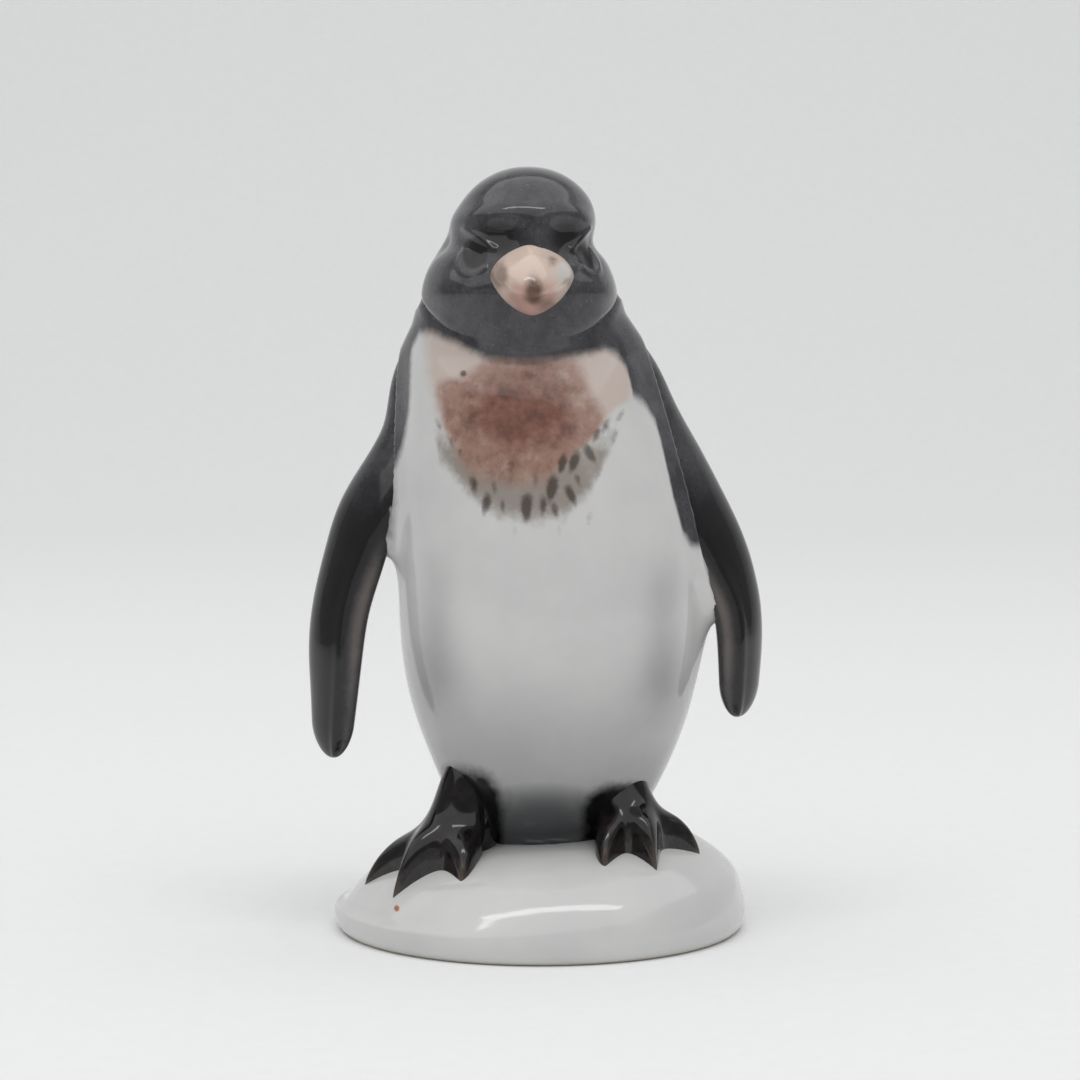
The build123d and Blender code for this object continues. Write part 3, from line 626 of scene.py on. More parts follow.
def paint_coat(tree, place, under, over, mask, span, most=1.0, grain=1.5, wander=0.0):
    """Lays a coat over another where a piece's painted mask rises over a span.

    Noise of a grain in millimetres wanders the mask by half of wander either way, as sprayed colour does.
    """
    share = add_node(tree, "ShaderNodeAttribute", output="Fac", attribute_name=mask)
    if wander:
        noise = {"Vector": place, "Scale": 1 / (grain * MM), "Detail": 3.0, "Roughness": 0.6}
        noise = add_node(tree, "ShaderNodeTexNoise", noise, "Fac")
        share = add_node(tree, "ShaderNodeMath", {0: noise, 1: wander, 2: share}, operation="MULTIPLY_ADD")
    low, high = span[0] + wander / 2, span[1] + wander / 2
    ease = {"Value": share, "From Min": low, "From Max": high, "To Max": most}
    share = add_node(tree, "ShaderNodeMapRange", ease, interpolation_type="SMOOTHSTEP")
    return add_node(tree, "ShaderNodeMix", {0: share, 6: under, 7: over}, 2, data_type="RGBA")


def fire_glaze(tree, shader, place, colour):
    """Clear feldspar glaze over a painted body: a hard glassy coat with the slow waves of a fired surface."""
    tree.links.new(colour, shader.inputs["Base Color"])
    shader.inputs["Roughness"].default_value = 0.5
    shader.inputs["Specular IOR Level"].default_value = 0.0
    shader.inputs["Coat Weight"].default_value = 1.0
    shader.inputs["Coat Roughness"].default_value = 0.09
    shader.inputs["Coat IOR"].default_value = 1.5
    noise = {"Vector": place, "Scale": 1 / (WAVE_LENGTH * MM), "Detail": 2.0}
    wave = add_node(tree, "ShaderNodeTexNoise", noise, "Fac")
    bump = {"Height": wave, "Strength": 0.35, "Distance": WAVE_HEIGHT * MM}
    normal = add_node(tree, "ShaderNodeBump", bump, "Normal")
    tree.links.new(normal, shader.inputs["Normal"])
    tree.links.new(normal, shader.inputs["Coat Normal"])


def charcoal_colour(tree, place, glazes):
    """Airbrushed charcoal stain: a warm dark grey with a fine greenish and mauve spatter."""
    # The spatter's real dots are about 0.15 mm; they are drawn three times as coarse so that they show.
    colour = cloud_coat(tree, place, glazes.charcoal, glazes.charcoal_light, 3.2, (0.3, 0.7))
    colour = cloud_coat(tree, place, colour, glazes.mauve, 1.1, (0.5, 0.75), 0.45)
    colour = cloud_coat(tree, place, colour, glazes.spatter, 0.45, (0.58, 0.78), 0.5)
    return cloud_coat(tree, place, colour, glazes.black, 0.47, (0.44, 0.26), 0.45)


def white_colour(tree, place, glazes):
    """Hard-paste white under clear glaze: a cool white with broad faint clouds of thicker glaze."""
    return cloud_coat(tree, place, glazes.white, glazes.white_shade, 14.0, (0.3, 0.7), 0.6)


def white_porcelain(glazes):
    """White glazed porcelain, slip cast: cool, glassy, with iron specks, painted grey shade round the seat
    and a bare foot ring.
    """
    material, tree, shader, place = new_finish("white_glazed_porcelain")
    colour = white_colour(tree, place, glazes)
    colour = paint_coat(tree, place, colour, glazes.shade, "shade", (0.1, 1.0), 0.9, 1.5, 0.15)
    colour = paint_coat(tree, place, colour, glazes.iron_speck, "speck", (0.35, 0.75))
    colour = paint_coat(tree, place, colour, glazes.bisque, "bare", (0.0, 0.35))
    fire_glaze(tree, shader, place, colour)
    return material


def painted_porcelain(glazes):
    """Underglaze painted porcelain: white, with an airbrushed charcoal back, rusty bib and brown strokes."""
    material, tree, shader, place = new_finish("underglaze_painted_porcelain")
    colour = white_colour(tree, place, glazes)
    # Painted shade: dark at the seat between the feet, darker low on the belly, and the flippers' painted
    # reflection and shadow on the flanks.
    colour = paint_coat(tree, place, colour, glazes.shade, "shade", (0.04, 1.0), 0.95, 4.0, 0.06)
    colour = paint_coat(tree, place, colour, glazes.cream, "bib", (-0.8, 1.2), 0.85, 2.0, 1.4)
    colour = paint_coat(tree, place, colour, glazes.haze, "haze", (0.2, 1.0), 0.8, 1.5, 0.7)
    salmon = cloud_coat(tree, place, glazes.salmon, glazes.cream, 2.4, (0.5, 0.72), 0.4)
    salmon = cloud_coat(tree, place, salmon, glazes.rust, 2.3, (0.5, 0.3), 0.5)
    colour = paint_coat(tree, place, colour, salmon, "rust", (0.08, 0.5), 0.9, 2.0, 0.3)
    rust = cloud_coat(tree, place, glazes.rust, glazes.brush_brown, 1.6, (0.48, 0.7), 0.6)
    colour = paint_coat(tree, place, colour, rust, "rust", (0.35, 1.15), 0.85, 1.6, 0.9)
    colour = paint_coat(tree, place, colour, glazes.brush_brown, "brush", (0.16, 0.8), 0.85, 0.7, 0.5)
    charcoal = charcoal_colour(tree, place, glazes)
    colour = paint_coat(tree, place, colour, charcoal, "dark", (-0.9, 0.9), 1.0, 1.3, 0.9)
    colour = paint_coat(tree, place, colour, glazes.black, "leg", (-0.8, 0.8), 1.0, 1.0, 0.6)
    fire_glaze(tree, shader, place, colour)
    return material


def charcoal_porcelain(glazes):
    """Airbrushed charcoal glaze: dark, finely spattered, thin and paler over edges, black in hollows, with
    painted shade in the eye sockets.
    """
    material, tree, shader, place = new_finish("airbrushed_charcoal_glaze")
    colour = charcoal_colour(tree, place, glazes)
    # The deep coat is black glaze; in the eye sockets it lays painted shade as well.
    colour = paint_coat(tree, place, colour, glazes.black, "deep", (0.0, 1.0), 0.92)
    colour = paint_coat(tree, place, colour, glazes.thin_edge, "thin", (0.05, 1.0), 0.85, 0.8, 0.15)
    white = white_colour(tree, place, glazes)
    colour = paint_coat(tree, place, colour, white, "white", (0.2, 0.8), 1.0, 1.1, 0.4)
    fire_glaze(tree, shader, place, colour)
    return material


def black_porcelain(glazes):
    """Glossy black-brown glaze: near black in the webs, thin and brown where it breaks over the toes."""
    material, tree, shader, place = new_finish("black_brown_glaze")
    colour = cloud_coat(tree, place, glazes.black, glazes.black_brown, 1.4, (0.4, 0.7))
    colour = paint_coat(tree, place, colour, glazes.thin_edge, "thin", (0.12, 1.0), 0.6, 0.8, 0.3)
    colour = paint_coat(tree, place, colour, glazes.claw, "claw", (0.15, 0.9), 0.8, 0.7, 0.3)
    fire_glaze(tree, shader, place, colour)
    return material


def flesh_porcelain(glazes):
    """Flesh-tinted glaze on the beak: cream over the ridge, pink below, grey washes with painted shade along
    the gape, and a brown hook with painted shadow under its tip.
    """
    material, tree, shader, place = new_finish("flesh_tinted_glaze")
    colour = paint_coat(tree, place, glazes.flesh, glazes.flesh_pink, "pink", (0.0, 1.0), 0.9, 1.2, 0.1)
    colour = paint_coat(tree, place, colour, glazes.white_shade, "pale", (0.1, 0.9), 0.75, 1.2, 0.25)
    colour = paint_coat(tree, place, colour, glazes.beak_wash, "wash", (0.2, 1.0), 0.75, 0.9, 0.6)
    colour = paint_coat(tree, place, colour, glazes.beak_brown, "hook", (0.12, 0.9), 0.9, 0.8, 0.3)
    fire_glaze(tree, shader, place, colour)
    return material


def fired_slip(glazes):
    """Fired luting slip, unglazed bisque: chalky, matt, with a fine sandy tooth."""
    material, tree, shader, place = new_finish("fired_luting_slip")
    colour = cloud_coat(tree, place, glazes.bisque, glazes.white_shade, 0.5, (0.3, 0.7))
    tree.links.new(colour, shader.inputs["Base Color"])
    shader.inputs["Roughness"].default_value = 0.85
    noise = {"Vector": place, "Scale": 1 / (0.4 * MM), "Detail": 3.0}
    tooth = add_node(tree, "ShaderNodeTexNoise", noise, "Fac")
    bump = {"Height": tooth, "Strength": 0.4, "Distance": 0.1 * MM}
    tree.links.new(add_node(tree, "ShaderNodeBump", bump, "Normal"), shader.inputs["Normal"])
    return material


def seamless_paper(glazes):
    """Matt pale studio paper with a very faint fibre."""
    material, tree, shader, place = new_finish("seamless_studio_paper")
    colour = cloud_coat(tree, place, glazes.paper, glazes.paper_shade, 3.0, (0.2, 0.8))
    tree.links.new(colour, shader.inputs["Base Color"])
    shader.inputs["Roughness"].default_value = 0.9
    shader.inputs["Specular IOR Level"].default_value = 0.1
    return material


def size_value(name, description, millimetres):
    """A length that a user may change."""
    return bpy.props.FloatProperty(
        name=name, description=description, default=millimetres * MM, precision=5, unit="LENGTH"
    )


def glaze_value(name, description, code):
    """A glaze colour that a user may change, from its sRGB hex code."""
    return bpy.props.FloatVectorProperty(
        name=name, description=description, default=linear_colour(code), size=4, min=0, max=1, subtype="COLOR"
    )


class PenguinSizes(bpy.types.PropertyGroup):
    """Relief and glaze sizes of the figurine."""

    brow_rise: size_value("Brow rise", "How far the brow stands out over the eyes", 0.6)
    bridge_rise: size_value("Bridge rise", "How far the bridge stands out between the eye sockets", 0.5)
    socket_depth: size_value("Socket depth", "Depth of the sockets under the brow", 0.75)
    lid_rise: size_value("Lid rise", "How far the eyelid stands out", 0.28)
    rim_rise: size_value("Rim rise", "How far the lower rim of the eye stands out", 0.22)
    eye_depth: size_value("Eye depth", "Depth of the pressed eye hollows", 0.5)
    temple_depth: size_value("Temple depth", "How far the temples draw in beside the eyes", 1.0)
    cheek_rise: size_value("Cheek rise", "How far the cheeks puff out", 1.2)
    chin_rise: size_value("Chin rise", "How far the throat hangs out under the beak", 0.5)
    neck_groove: size_value("Neck groove", "Width of the rounded crease between head and collar", 1.1)
    shoulder_fillet: size_value("Shoulder fillet", "Width of the fillet between body and flippers", 3.6)
    seat_fillet: size_value("Seat fillet", "Width of the pooled glaze at the foot of the body", 1.8)
    toe_rise: size_value("Toe rise", "Height of the toe ridges over the webs", 0.8)
    web_lip: size_value("Web lip", "Thickness of the webs at their edge", 2.1)


class PenguinGlazes(bpy.types.PropertyGroup):
    """Glaze and stage colours."""

    white: glaze_value("White", "Clear glaze over white porcelain", "#d9d9d7")
    white_shade: glaze_value("White, pooled", "Thicker, cooler clear glaze", "#cccccb")
    # The grey shade colour lays painted shade under the belly between the feet, on the plinth round the seat
    # and low on the belly, and the flippers' painted reflection on the flanks. At the seat it is partly a
    # real airbrushed grey.
    shade: glaze_value("Grey shade", "Airbrushed blue-grey shade low on the belly and flanks", "#2e3134")
    charcoal: glaze_value("Charcoal", "Airbrushed stain of head, back and flippers", "#38383b")
    charcoal_light: glaze_value("Charcoal, thin", "Thinner clouds of the charcoal stain", "#4e4d51")
    mauve: glaze_value("Mauve", "Faint mauve clouds in the charcoal stain", "#4d4249")
    spatter: glaze_value("Spatter", "Pale dots in the charcoal stain", "#75776f")
    black: glaze_value("Black", "Deep black glaze", "#121112")
    black_brown: glaze_value("Black brown", "Brown-black glaze of the feet", "#241d1b")
    thin_edge: glaze_value("Thin edge", "Glaze that has run thin over an edge", "#6f6763")
    claw: glaze_value("Claw", "Brown claw tips", "#54463b")
    cream: glaze_value("Cream", "Pale corners of the bib", "#cdbcb2")
    salmon: glaze_value("Salmon", "Thin parts of the bib", "#a48173")
    rust: glaze_value("Rust", "Full parts of the bib", "#77493d")
    haze: glaze_value("Haze", "Thin grey-brown wash under the brush strokes", "#877a6f")
    brush_brown: glaze_value("Brush brown", "Brush strokes under the bib", "#4a3f39")
    flesh: glaze_value("Flesh", "Ridge of the beak", "#dcc6b8")
    flesh_pink: glaze_value("Flesh pink", "Lower bill", "#c79e92")
    beak_wash: glaze_value("Beak wash", "Grey-brown washes on the sides of the beak", "#7d6a5c")
    # Beak brown: the brown of the hooked tip, also laid as painted shadow under it.
    beak_brown: glaze_value("Beak brown", "Hook of the beak", "#57402f")
    bisque: glaze_value("Bisque", "Bare fired clay of the foot ring and slip", "#cfc8bd")
    iron_speck: glaze_value("Iron speck", "Small rusty specks in the white glaze", "#b0703f")
    paper: glaze_value("Paper", "Studio paper", "#f6f6f6")
    paper_shade: glaze_value("Paper fibre", "Fibre of the studio paper", "#f4f4f4")


def brush_dabs(x, z):
    """Soft oval dabs of a brush at their places over the breast, as shares."""
    brush = np.zeros(x.shape)
    for at_x, at_z, lean, tall, strength in BRUSH_DABS:
        lean = radians(lean)
        aside = (x - at_x) * np.cos(lean) - (z - at_z) * np.sin(lean)
        along = (z - at_z) * np.cos(lean) + (x - at_x) * np.sin(lean)
        wide = DAB_SLIMNESS * tall * (1 + DAB_FLARE * np.clip(along / tall, -1, 1))
        brush = np.maximum(brush, strength * np.exp(-np.hypot(aside / wide, along / tall) ** DAB_POWER))
    return brush


def trunk_masks(grid, blades):
    """Painted masks of the body, in millimetres or shares, from each point's place."""
    x, y, z = grid[..., 0], grid[..., 1], grid[..., 2]
    right_edge, left_edge = (np.interp(z, *edge.T) for edge in (RIGHT_BACK_EDGE, LEFT_BACK_EDGE))
    back = y - np.where(x < 0, right_edge, left_edge)
    blade = np.minimum.reduce([distance(grid) for distance in blades])
    shoulder = np.minimum(SHOULDER_MARGIN - blade, SHOULDER_FADE * (z - SHOULDER_FLOOR))
    dark = np.maximum.reduce([z - np.interp(x, *BIB_TOP.T), back, shoulder])
    bib = np.minimum.reduce([x - np.interp(z, *BIB_RIGHT.T), np.interp(z, *BIB_LEFT.T) - x, z - BIB_FLOOR])
    rust = np.clip(spots(x, z, RUST_SPOTS), 0, 1) * smooth_step(*RUST_EDGE, bib)
    above = z - np.interp(x, *HAZE_EDGE.T)
    haze = smooth_step(*HAZE_FOOT, above) * smooth_step(*HAZE_HEAD, above) * smooth_step(*HAZE_TOP, z)
    brush = np.maximum(brush_dabs(x, z), spots(x, z, BIB_SPECKS))
    # Painted shade in the shade mask: the seat between the feet, partly a real airbrushed grey, the belly
    # darker towards the bottom, and the flippers' painted reflection and shadow on the flanks.
    seat = smooth_step(*SEAT_SHADE, z) * bell(x - SEAT_MIDDLE, SEAT_HALF_WIDTH)
    flank = FLANK_SHADE_STRENGTH * bell(np.abs(x - FLANK_SHADE_MIDDLE) - FLANK_SHADE_OUT, FLANK_SHADE_HALF_WIDTH)
    flank = flank * smooth_step(*FLANK_SHADE_FOOT, z) * smooth_step(*FLANK_SHADE_HEAD, z)
    shade = np.clip(np.maximum(seat, BELLY_SHADE_STRENGTH * smooth_step(*BELLY_SHADE, z) + flank), 0, 1)
    legs = []
    for foot, top in zip((RIGHT_FOOT, LEFT_FOOT), LEG_TOPS):
        across, up = np.abs(x - foot[0, 0]) / LEG_HALF_WIDTH, np.maximum(z - LEG_FOOT, 0) / (top - LEG_FOOT)
        legs.append(LEG_HALF_WIDTH * (1 - np.cbrt(across ** 3 + up ** 3)))
    leg = np.where(y < LEG_FRONT, np.maximum(*legs), UNPAINTED)
    front = {"rust": rust, "haze": haze, "brush": brush, "shade": shade}
    front = {key: value * smooth_step(*BREAST_FRONT, y) for key, value in front.items()}
    return {"dark": dark, "leg": leg, "bib": np.where(y < 0, bib, UNPAINTED), **front}


def trunk_shell(along, around, past_seam, sizes):
    """Part of the trunk with its face relief, less its dive at the neck seam, along its normals."""
    grid = trunk_grid(along, around)
    lift = face_relief(grid, sizes) - seam_dive(past_seam, sizes.neck_groove / MM, around)
    return grid + grid_normals(grid) * lift[..., None]


class PENGUIN_OT_plinth(bpy.types.Operator):
    """Leaning mound on a level rim, turned from its profile, with a bare foot ring and a vent"""

    bl_idname = "penguin.plinth"
    bl_label = "Build plinth"

    def execute(self, context):
        profile = np.vstack([FOOT_PROFILE[1:], MOUND_CURVE[:-1]])
        around = np.linspace(0, 2 * np.pi, PLINTH_COLUMNS, endpoint=False)
        radius, height = profile[:, :1], profile[:, 1:]
        x, y = radius * np.cos(around), radius * np.sin(around)
        raised = (np.arange(len(profile)) >= len(FOOT_PROFILE))[:, None]
        z = height + leaning(x, np.broadcast_to(height, x.shape)) * raised
        grid = np.stack([x, y, z], -1)
        front = y < 0
        # Painted shade on the plinth's front round the foot of the body.
        under = bell(np.maximum(trunk_distance(grid), 0), PLINTH_SHADE_REACH) * front * raised
        masks = {
            "speck": spots(x, z, IRON_SPECKS) * front,
            "bare": smooth_step(*BARE_HEIGHT, z) * smooth_step(*BARE_RADIUS, np.hypot(x, y)),
            "shade": under * bell(x - SEAT_MIDDLE, PLINTH_SHADE_WIDTH),
        }
        material = white_porcelain(context.scene.penguin_glazes)
        piece = add_piece("glazed_plinth", grid, masks, material, "plinth_shell")
        piece.data.set_sharp_from_angle(angle=radians(PLINTH_SHARP))
        return {"FINISHED"}


class PENGUIN_OT_body(bpy.types.Operator):
    """Body from tilted ovals, with glaze pooled against flippers and plinth, and its painted decoration"""

    bl_idname = "penguin.body"
    bl_label = "Build body"

    def execute(self, context):
        sizes = context.scene.penguin_sizes
        groove = sizes.neck_groove / MM
        along = np.linspace(SEAT_START, NECK + NECK_OVERRUN * groove, BODY_GRID[0])
        grid = trunk_shell(along, front_angles(BODY_GRID[1], FRONT_CROWDING), NECK - along, sizes)
        blades = [blade_distance(RIGHT_FLIPPER, -1), blade_distance(LEFT_FLIPPER, 1)]
        grid = glazed_over(grid, blades, sizes.shoulder_fillet / MM)
        grid = glazed_over(grid, [mound_distance], sizes.seat_fillet / MM)
        masks = trunk_masks(grid, blades)
        material = painted_porcelain(context.scene.penguin_glazes)
        add_piece("glazed_body", grid, masks, material, "body_shell")
        return {"FINISHED"}


class PENGUIN_OT_head(bpy.types.Operator):
    """Head from the upper tilted ovals, with its face relief, down to the crease at the collar"""

    bl_idname = "penguin.head"
    bl_label = "Build head"

    def execute(self, context):
        sizes = context.scene.penguin_sizes
        groove = sizes.neck_groove / MM
        along = np.linspace(NECK - NECK_OVERRUN * groove, CROWN - CROWN_GAP, HEAD_GRID[0])
        grid = trunk_shell(along, front_angles(HEAD_GRID[1], FRONT_CROWDING), along - NECK, sizes)
        masks = {"deep": eye_paint(grid)}
        material = charcoal_porcelain(context.scene.penguin_glazes)
        add_piece("glazed_head", grid, masks, material, "head_shell")
        return {"FINISHED"}


class PENGUIN_OT_beak(bpy.types.Operator):
    """Beak carried from the face to its hook, with a rounded ridge and painted shade along the gape line on
    its sides
    """

    bl_idname = "penguin.beak"
    bl_label = "Build beak"

    def execute(self, context):
        end = BEAK_KNOTS[len(BEAK_SECTIONS) - 1]
        along = end * np.sin(np.linspace(0, 0.5, BEAK_GRID[0]) * np.pi)
        along[-1] = end - BEAK_TIP_GAP
        reach, middle, wide, above, below = natural_spline(BEAK_KNOTS, BEAK_ROWS, along).T[..., None]
        around = np.linspace(0, 2 * np.pi, BEAK_GRID[1], endpoint=False)
        level, up = np.cos(around), np.sin(around)
        upper = smooth_step(*TOP_SIDE, up)
        power = DIAMOND_POWER - POWER_OFF_TOP * upper - POWER_OFF_TIP * smooth_step(*TIP_REACH, reach)
        side = wide * np.sign(level) * np.abs(level) ** power
        lift = np.where(up > 0, above, below) * np.sign(up) * np.abs(up) ** power
        ridge = bell(side, RIDGE_HALF_WIDTH) * upper * smooth_step(*RIDGE_END, reach)
        lift = lift + RIDGE_RISE * ridge * smooth_step(*RIDGE_CLOSE, wide)
        # Painted shade along the gape line, where the crease between the bills would be; it goes into the
        # wash mask.
        gape = GAPE_RISE * wide - GAPE_DROP * smooth_step(*GAPE_RUN, reach)
        line = bell(lift - gape, GAPE_HALF_WIDTH) * smooth_step(*GAPE_END, reach)
        height = middle + lift
        turn = radians(HEAD_TURN)
        sway = BEAK_SWAY * np.maximum(reach - SWAY_START, 0)
        x = HEAD_MIDDLE[0] + side * np.cos(turn) + reach * np.sin(turn) - sway
        y = HEAD_MIDDLE[1] + side * np.sin(turn) - reach * np.cos(turn)
        grid = np.stack(np.broadcast_arrays(x, y, height), -1)
        masks = {
            "hook": spots(side, height, BEAK_HOOK_AND_SHADOW) * smooth_step(*HOOK_REACH, reach),
            "wash": np.clip(spots(side, height, BEAK_WASHES) + GAPE_SHADE * line, 0, 1),
            "pale": spots(side, height, BEAK_PALES),
            "pink": smooth_step(*PINK_HEIGHT, height) * smooth_step(*PINK_SIDE, np.abs(side)),
        }
        masks = {name: np.broadcast_to(value, x.shape) for name, value in masks.items()}
        material = flesh_porcelain(context.scene.penguin_glazes)
        add_piece("glazed_beak", grid, masks, material, "beak")
        return {"FINISHED"}


class PENGUIN_OT_flippers(bpy.types.Operator):
    """Both flippers: a lens section with a ridge beside its leading edge, carried down to a round tip"""

    bl_idname = "penguin.flippers"
    bl_label = "Build flippers"

    def execute(self, context):
        material = charcoal_porcelain(context.scene.penguin_glazes)
        for name, rows, side in (("right_flipper", RIGHT_FLIPPER, -1), ("left_flipper", LEFT_FLIPPER, 1)):
            frames = blade_frames(rows, FLIPPER_GRID[0])
            centre, across, through, chord, thick = (part[:-1] for part in frames)
            around = np.linspace(-np.pi, np.pi, FLIPPER_GRID[1], endpoint=False)
            lead = smooth_step(*LEAD_SIDE, np.cos(around))
            bulge = np.sign(np.sin(around)) * np.abs(np.sin(around)) ** (1 + LEAD_POWER * lead)
            low = smooth_step(*LOW_BLADE, centre[:, 2:])
            ridge, scoop, edge = (
                bell(around - at, wide) * low for at, wide in (BLADE_RIDGE, BLADE_SCOOP, BLADE_EDGE)
            )
            stout = np.maximum(thick[:, None], THINNEST_BLADE)
            size = 1 + (RIDGE_SWELL * ridge - SCOOP_DEPTH * scoop) / stout
            run = chord[:, None] * np.cos(around) * (1 - CHORD_GIVE * (1 - size))
            swell = thick[:, None] * bulge * size
            grid = centre[:, None] + across[:, None] * run[..., None] + through[:, None] * swell[..., None]
            grid[..., 0] *= side
            height = grid[..., 2]
            inside = np.minimum(ARMPIT_REACH - trunk_distance(grid), ARMPIT_TOP - height)
            pale = SCOOP_THIN * scoop * smooth_step(*SCOOP_FOOT, height)
            masks = {
                "deep": smooth_step(*BLACK_BLADE, height) * (1 - SCOOP_PALE * scoop),
                "thin": np.clip(EDGE_THIN * edge + pale, 0, 1),
                "white": smooth_step(*ARMPIT_WHITE, inside) * (np.sin(around) > ARMPIT_SIDE),
            }
            if side > 0:
                grid, masks = grid[:, ::-1], {key: value[:, ::-1] for key, value in masks.items()}
            add_piece("glazed_" + name, grid, masks, material, name)
        return {"FINISHED"}


class PENGUIN_OT_feet(bpy.types.Operator):
    """Both webbed feet: an ankle flaring into a scalloped fan over the mound, with toe ridges and claws"""

    bl_idname = "penguin.feet"
    bl_label = "Build feet"

    def execute(self, context):
        sizes = context.scene.penguin_sizes
        lip, toe_rise = sizes.web_lip / MM, sizes.toe_rise / MM
        material = black_porcelain(context.scene.penguin_glazes)
        for name, foot, rise in zip(("right_foot", "left_foot"), (RIGHT_FOOT, LEFT_FOOT), ANKLE_RISES):
            reach = foot[1:] - foot[0]
            length = np.hypot(reach[:, 0], reach[:, 1])
            toe = np.unwrap(np.arctan2(reach[:, 1], reach[:, 0]))
            order = np.argsort(toe)
            toe, length = toe[order], length[order]
            turn = toe[1] + np.linspace(-np.pi, np.pi, FOOT_GRID[1], endpoint=False)
            off = np.abs(turn[:, None] - toe)
            gap = np.clip(np.searchsorted(toe, turn) - 1, 0, 1)
            web = np.clip((turn - toe[gap]) / (toe[gap + 1] - toe[gap]), 0, 1)
            outside = np.clip(np.maximum(toe[0] - turn, turn - toe[-1]), 0, np.pi / 2)
            rims = []
            for notch in (WEB_NOTCH * (1 - np.cos(2 * np.pi * web)), CLAW_NOTCH * (1 - (2 * web - 1) ** 2)):
                fan = np.interp(turn, toe, length) * (1 - notch)
                flank = 1 / np.hypot(1 / fan, np.sin(outside) / TOE_HALF_WIDTH)
                rims.append(np.hypot(np.maximum(flank - ANKLE_RADIUS, 0), RIM_BLEND) + ANKLE_RADIUS)
            rim, clawed = rims
            share = np.linspace(FOOT_POLE, 1, FOOT_GRID[0])[:, None] ** FOOT_CROWDING
            radius = rim * share + (clawed - rim) * share ** CLAW_POWER
            x, y = foot[0, 0] + radius * np.cos(turn), foot[0, 1] + radius * np.sin(turn)
            column = rise / (1 + np.exp((radius - ANKLE_RADIUS) / ANKLE_FLARE))
            middle = (1 - INSTEP_SHARE) * foot[0] + INSTEP_SHARE * foot[1:].mean(0)
            instep = INSTEP_RISE * bell(np.hypot(x - middle[0], y - middle[1]), INSTEP_RADIUS)
            aside = np.sin(np.minimum(off, np.pi / 2)) * radius[..., None]
            tip = radius[..., None] / length
            ridge = bell(aside, TOE_RIDGE_WIDTH) * smooth_step(*TOE_START, tip) * smooth_step(*TOE_END, tip)
            rounded = np.sqrt(np.clip(1 - share ** LIP_POWER, 0, 1))
            z = mound_height(x, y) + column + (instep + toe_rise * ridge.sum(-1) + lip) * rounded - LIP_SINK
            top = np.stack([x, y, z], -1)
            under = top[-1:] - np.array((0, 0, LIP_DROP))
            sole = top[-SOLE_ROW:1 - SOLE_ROW].copy()
            sole[..., 2] = mound_height(sole[..., 0], sole[..., 1]) - SOLE_DROP
            grid = np.vstack([sole, under, top[::-1]])
            crest = bell(aside, CREST_HALF_WIDTH).max(-1) * smooth_step(*CREST_REACH, radius)
            claw = (bell(aside, CLAW_HALF_WIDTH) * smooth_step(*CLAW_TIP, tip)).max(-1)
            hem = smooth_step(*HEM_SHARE, share) * smooth_step(*HEM_SPREAD, rim - ANKLE_RADIUS)
            masks = {"thin": np.clip(THIN_STRENGTH * (crest + hem), 0, 1), "claw": CLAW_STRENGTH * claw}
            masks = {key: np.vstack([value[-1:], value[-1:], value[::-1]]) for key, value in masks.items()}
            add_piece("glazed_" + name, grid, masks, material, name)
        return {"FINISHED"}


class PENGUIN_OT_tail(bpy.types.Operator):
    """Tail wedge: flat ovals from inside the back down to a rounded tip on the mound"""

    bl_idname = "penguin.tail"
    bl_label = "Build tail"

    def execute(self, context):
        knots = chord_knots(TAIL_OVALS[:, :2])
        along = np.linspace(0, knots[-1], TAIL_GRID[0])
        mid_y, mid_z, wide, thick = natural_spline(knots, TAIL_OVALS, along).T[..., None]
        left = (knots[-1] + TAIL_TIP_GAP - along) / TAIL_TIP_LENGTH
        closing = np.sqrt(1 - np.clip(1 - left, 0, 1) ** 2)[:, None]
        around = np.linspace(0, 2 * np.pi, TAIL_GRID[1], endpoint=False)
        slant = np.arctan2(np.gradient(mid_z[:, 0]), np.gradient(mid_y[:, 0]))[:, None]
        out, up = wide * closing * np.cos(around), np.sin(around)
        swell = thick * closing * up + TAIL_SPINE_RISE * bell(out, TAIL_SPINE_WIDTH) * np.maximum(up, 0)
        grid = np.stack([TAIL_MIDDLE + out, mid_y - swell * np.sin(slant), mid_z + swell * np.cos(slant)], -1)
        grid = grid[::-1, ::-1]
        thin = TAIL_THIN * smooth_step(*TAIL_THIN_HEIGHT, grid[..., 2])
        masks = {"deep": np.full(grid.shape[:2], TAIL_DEEP), "thin": thin}
        material = charcoal_porcelain(context.scene.penguin_glazes)
        add_piece("glazed_tail", grid, masks, material, "tail")
        return {"FINISHED"}


class PENGUIN_OT_slips(bpy.types.Operator):
    """Fired slip on every luted joint, on the CAD rings as they are"""

    bl_idname = "penguin.slips"
    bl_label = "Finish slip rings"

    def execute(self, context):
        material = fired_slip(context.scene.penguin_glazes)
        rings = [node for name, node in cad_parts.items() if name.endswith("_slip")]
        if not rings:
            raise RuntimeError("the frame has no slip rings")
        for ring in rings:
            ring.data.materials.clear()
            ring.data.materials.append(material)
        return {"FINISHED"}


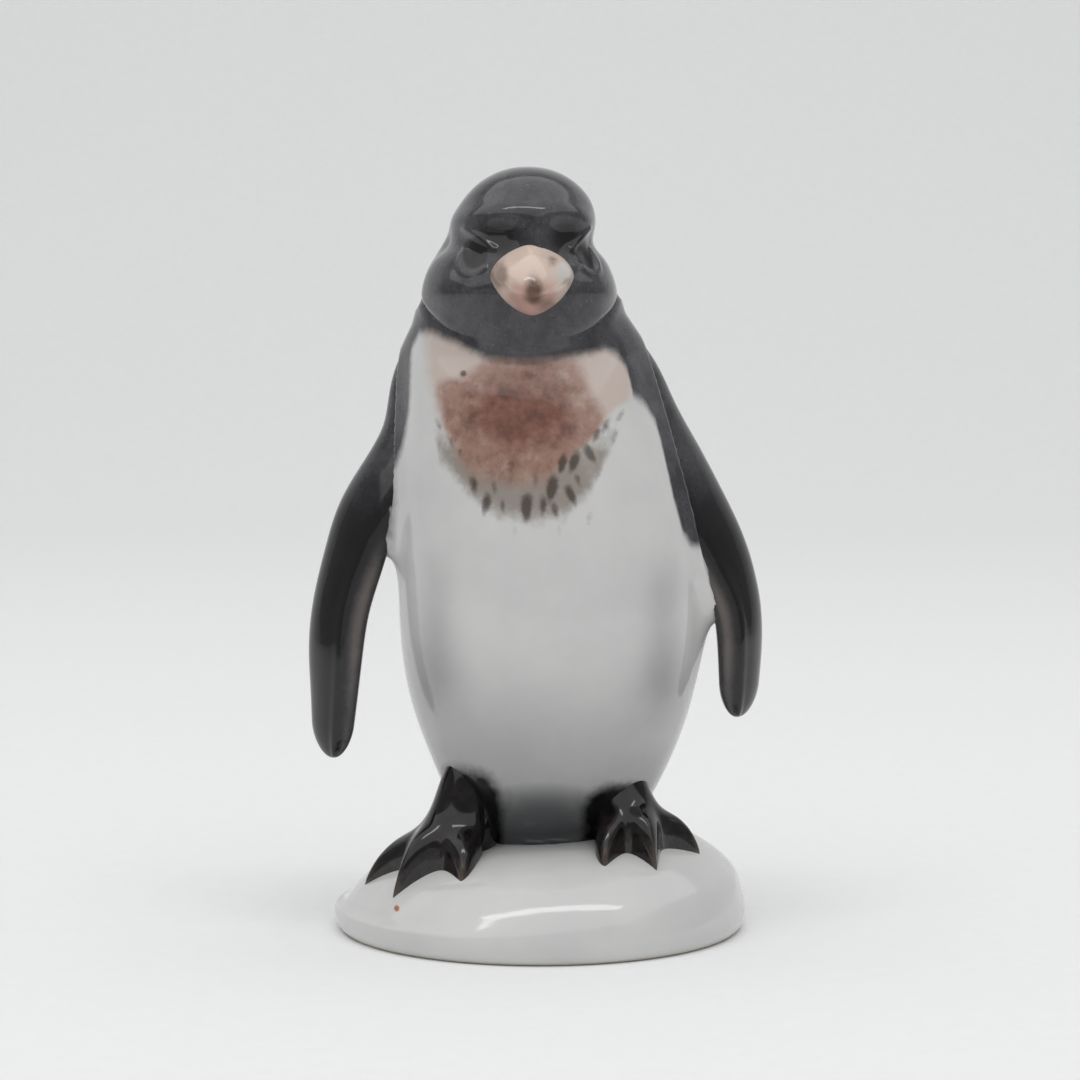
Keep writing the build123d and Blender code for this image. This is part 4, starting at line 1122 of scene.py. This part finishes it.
class PENGUIN_OT_stage(bpy.types.Operator):
    """Pale paper sweep, soft studio light and the camera at the photograph's place"""

    bl_idname = "penguin.stage"
    bl_label = "Build stage"

    def execute(self, context):
        scene = context.scene
        glazes = scene.penguin_glazes
        run = np.linspace(0, 1, SWEEP_GRID[0])
        bend = np.clip((run - FLOOR_SHARE) / (WALL_SHARE - FLOOR_SHARE), 0, 1) * np.pi / 2
        floor = FLOOR_FRONT + (FLOOR_BACK - FLOOR_FRONT) * run / FLOOR_SHARE
        depth = np.where(run < FLOOR_SHARE, floor, FLOOR_BACK + SWEEP_RADIUS * np.sin(bend))
        rise = SWEEP_RADIUS * (1 - np.cos(bend)) + np.clip(run - WALL_SHARE, 0, 1) * WALL_RISE
        across = np.linspace(-SWEEP_HALF_WIDTH, SWEEP_HALF_WIDTH, SWEEP_GRID[1])
        grid = np.stack(np.broadcast_arrays(across[None], depth[:, None], rise[:, None]), -1)
        index = np.arange(grid[..., 0].size).reshape(grid.shape[:2])
        quads = np.stack([index[:-1, :-1], index[:-1, 1:], index[1:, 1:], index[1:, :-1]], -1).reshape(-1, 4)
        mesh = bpy.data.meshes.new("paper_sweep")
        mesh.from_pydata(grid.reshape(-1, 3), [], quads.tolist())
        mesh.shade_smooth()
        sweep = bpy.data.objects.new("paper_sweep", mesh)
        scene.collection.objects.link(sweep)
        mesh.materials.append(seamless_paper(glazes))

        world = bpy.data.worlds.new("studio")
        world.use_nodes = True
        background = world.node_tree.nodes["Background"]
        background.inputs["Color"].default_value = linear_colour(ROOM_COLOUR)
        background.inputs["Strength"].default_value = ROOM_STRENGTH
        scene.world = world
        for name, place, aim, wide, tall, power in LAMPS:
            light = bpy.data.lights.new(name, "AREA")
            light.shape, light.size, light.size_y, light.energy = "RECTANGLE", wide, tall, power
            lamp = bpy.data.objects.new(name, light)
            scene.collection.objects.link(lamp)
            lamp.location = place
            lamp.rotation_euler = (Vector(aim) - Vector(place)).to_track_quat("-Z", "Y").to_euler()
        lens = bpy.data.cameras.new("photo_camera")
        lens.lens, lens.sensor_width, lens.sensor_fit = CAMERA_LENS, CAMERA_SENSOR, "HORIZONTAL"
        lens.clip_start, lens.clip_end = 0.01, 20.0
        camera = bpy.data.objects.new("photo_camera", lens)
        scene.collection.objects.link(camera)
        camera.location = CAMERA_PLACE
        camera.rotation_euler = (radians(90 - CAMERA_PITCH), 0.0, 0.0)
        scene.camera = camera
        scene.view_settings.view_transform = "Standard"
        return {"FINISHED"}


class PENGUIN_PT_panel(bpy.types.Panel):
    """The figurine's operators, sizes and glazes"""

    bl_idname = "PENGUIN_PT_panel"
    bl_label = "Porcelain penguin"
    bl_space_type = "VIEW_3D"
    bl_region_type = "UI"
    bl_category = "Penguin"

    def draw(self, context):
        for operator in OPERATORS:
            self.layout.operator(operator.bl_idname)
        for group in (context.scene.penguin_sizes, context.scene.penguin_glazes):
            for name in group.__annotations__:
                self.layout.prop(group, name)


OPERATORS = (
    PENGUIN_OT_stage, PENGUIN_OT_plinth, PENGUIN_OT_body, PENGUIN_OT_head, PENGUIN_OT_beak,
    PENGUIN_OT_flippers, PENGUIN_OT_feet, PENGUIN_OT_tail, PENGUIN_OT_slips,
)
CLASSES = (PenguinSizes, PenguinGlazes, *OPERATORS, PENGUIN_PT_panel)


def register():
    """Registers the classes and hangs the two property groups on the scene."""
    for cls in CLASSES:
        bpy.utils.register_class(cls)
    bpy.types.Scene.penguin_sizes = bpy.props.PointerProperty(type=PenguinSizes)
    bpy.types.Scene.penguin_glazes = bpy.props.PointerProperty(type=PenguinGlazes)


def unregister():
    """Takes the property groups and classes off again."""
    del bpy.types.Scene.penguin_sizes
    del bpy.types.Scene.penguin_glazes
    for cls in reversed(CLASSES):
        bpy.utils.unregister_class(cls)


def main():
    register()
    for operator in OPERATORS:
        group, name = operator.bl_idname.split(".")
        getattr(getattr(bpy.ops, group), name)()


if __name__ == "__main__":
    main()
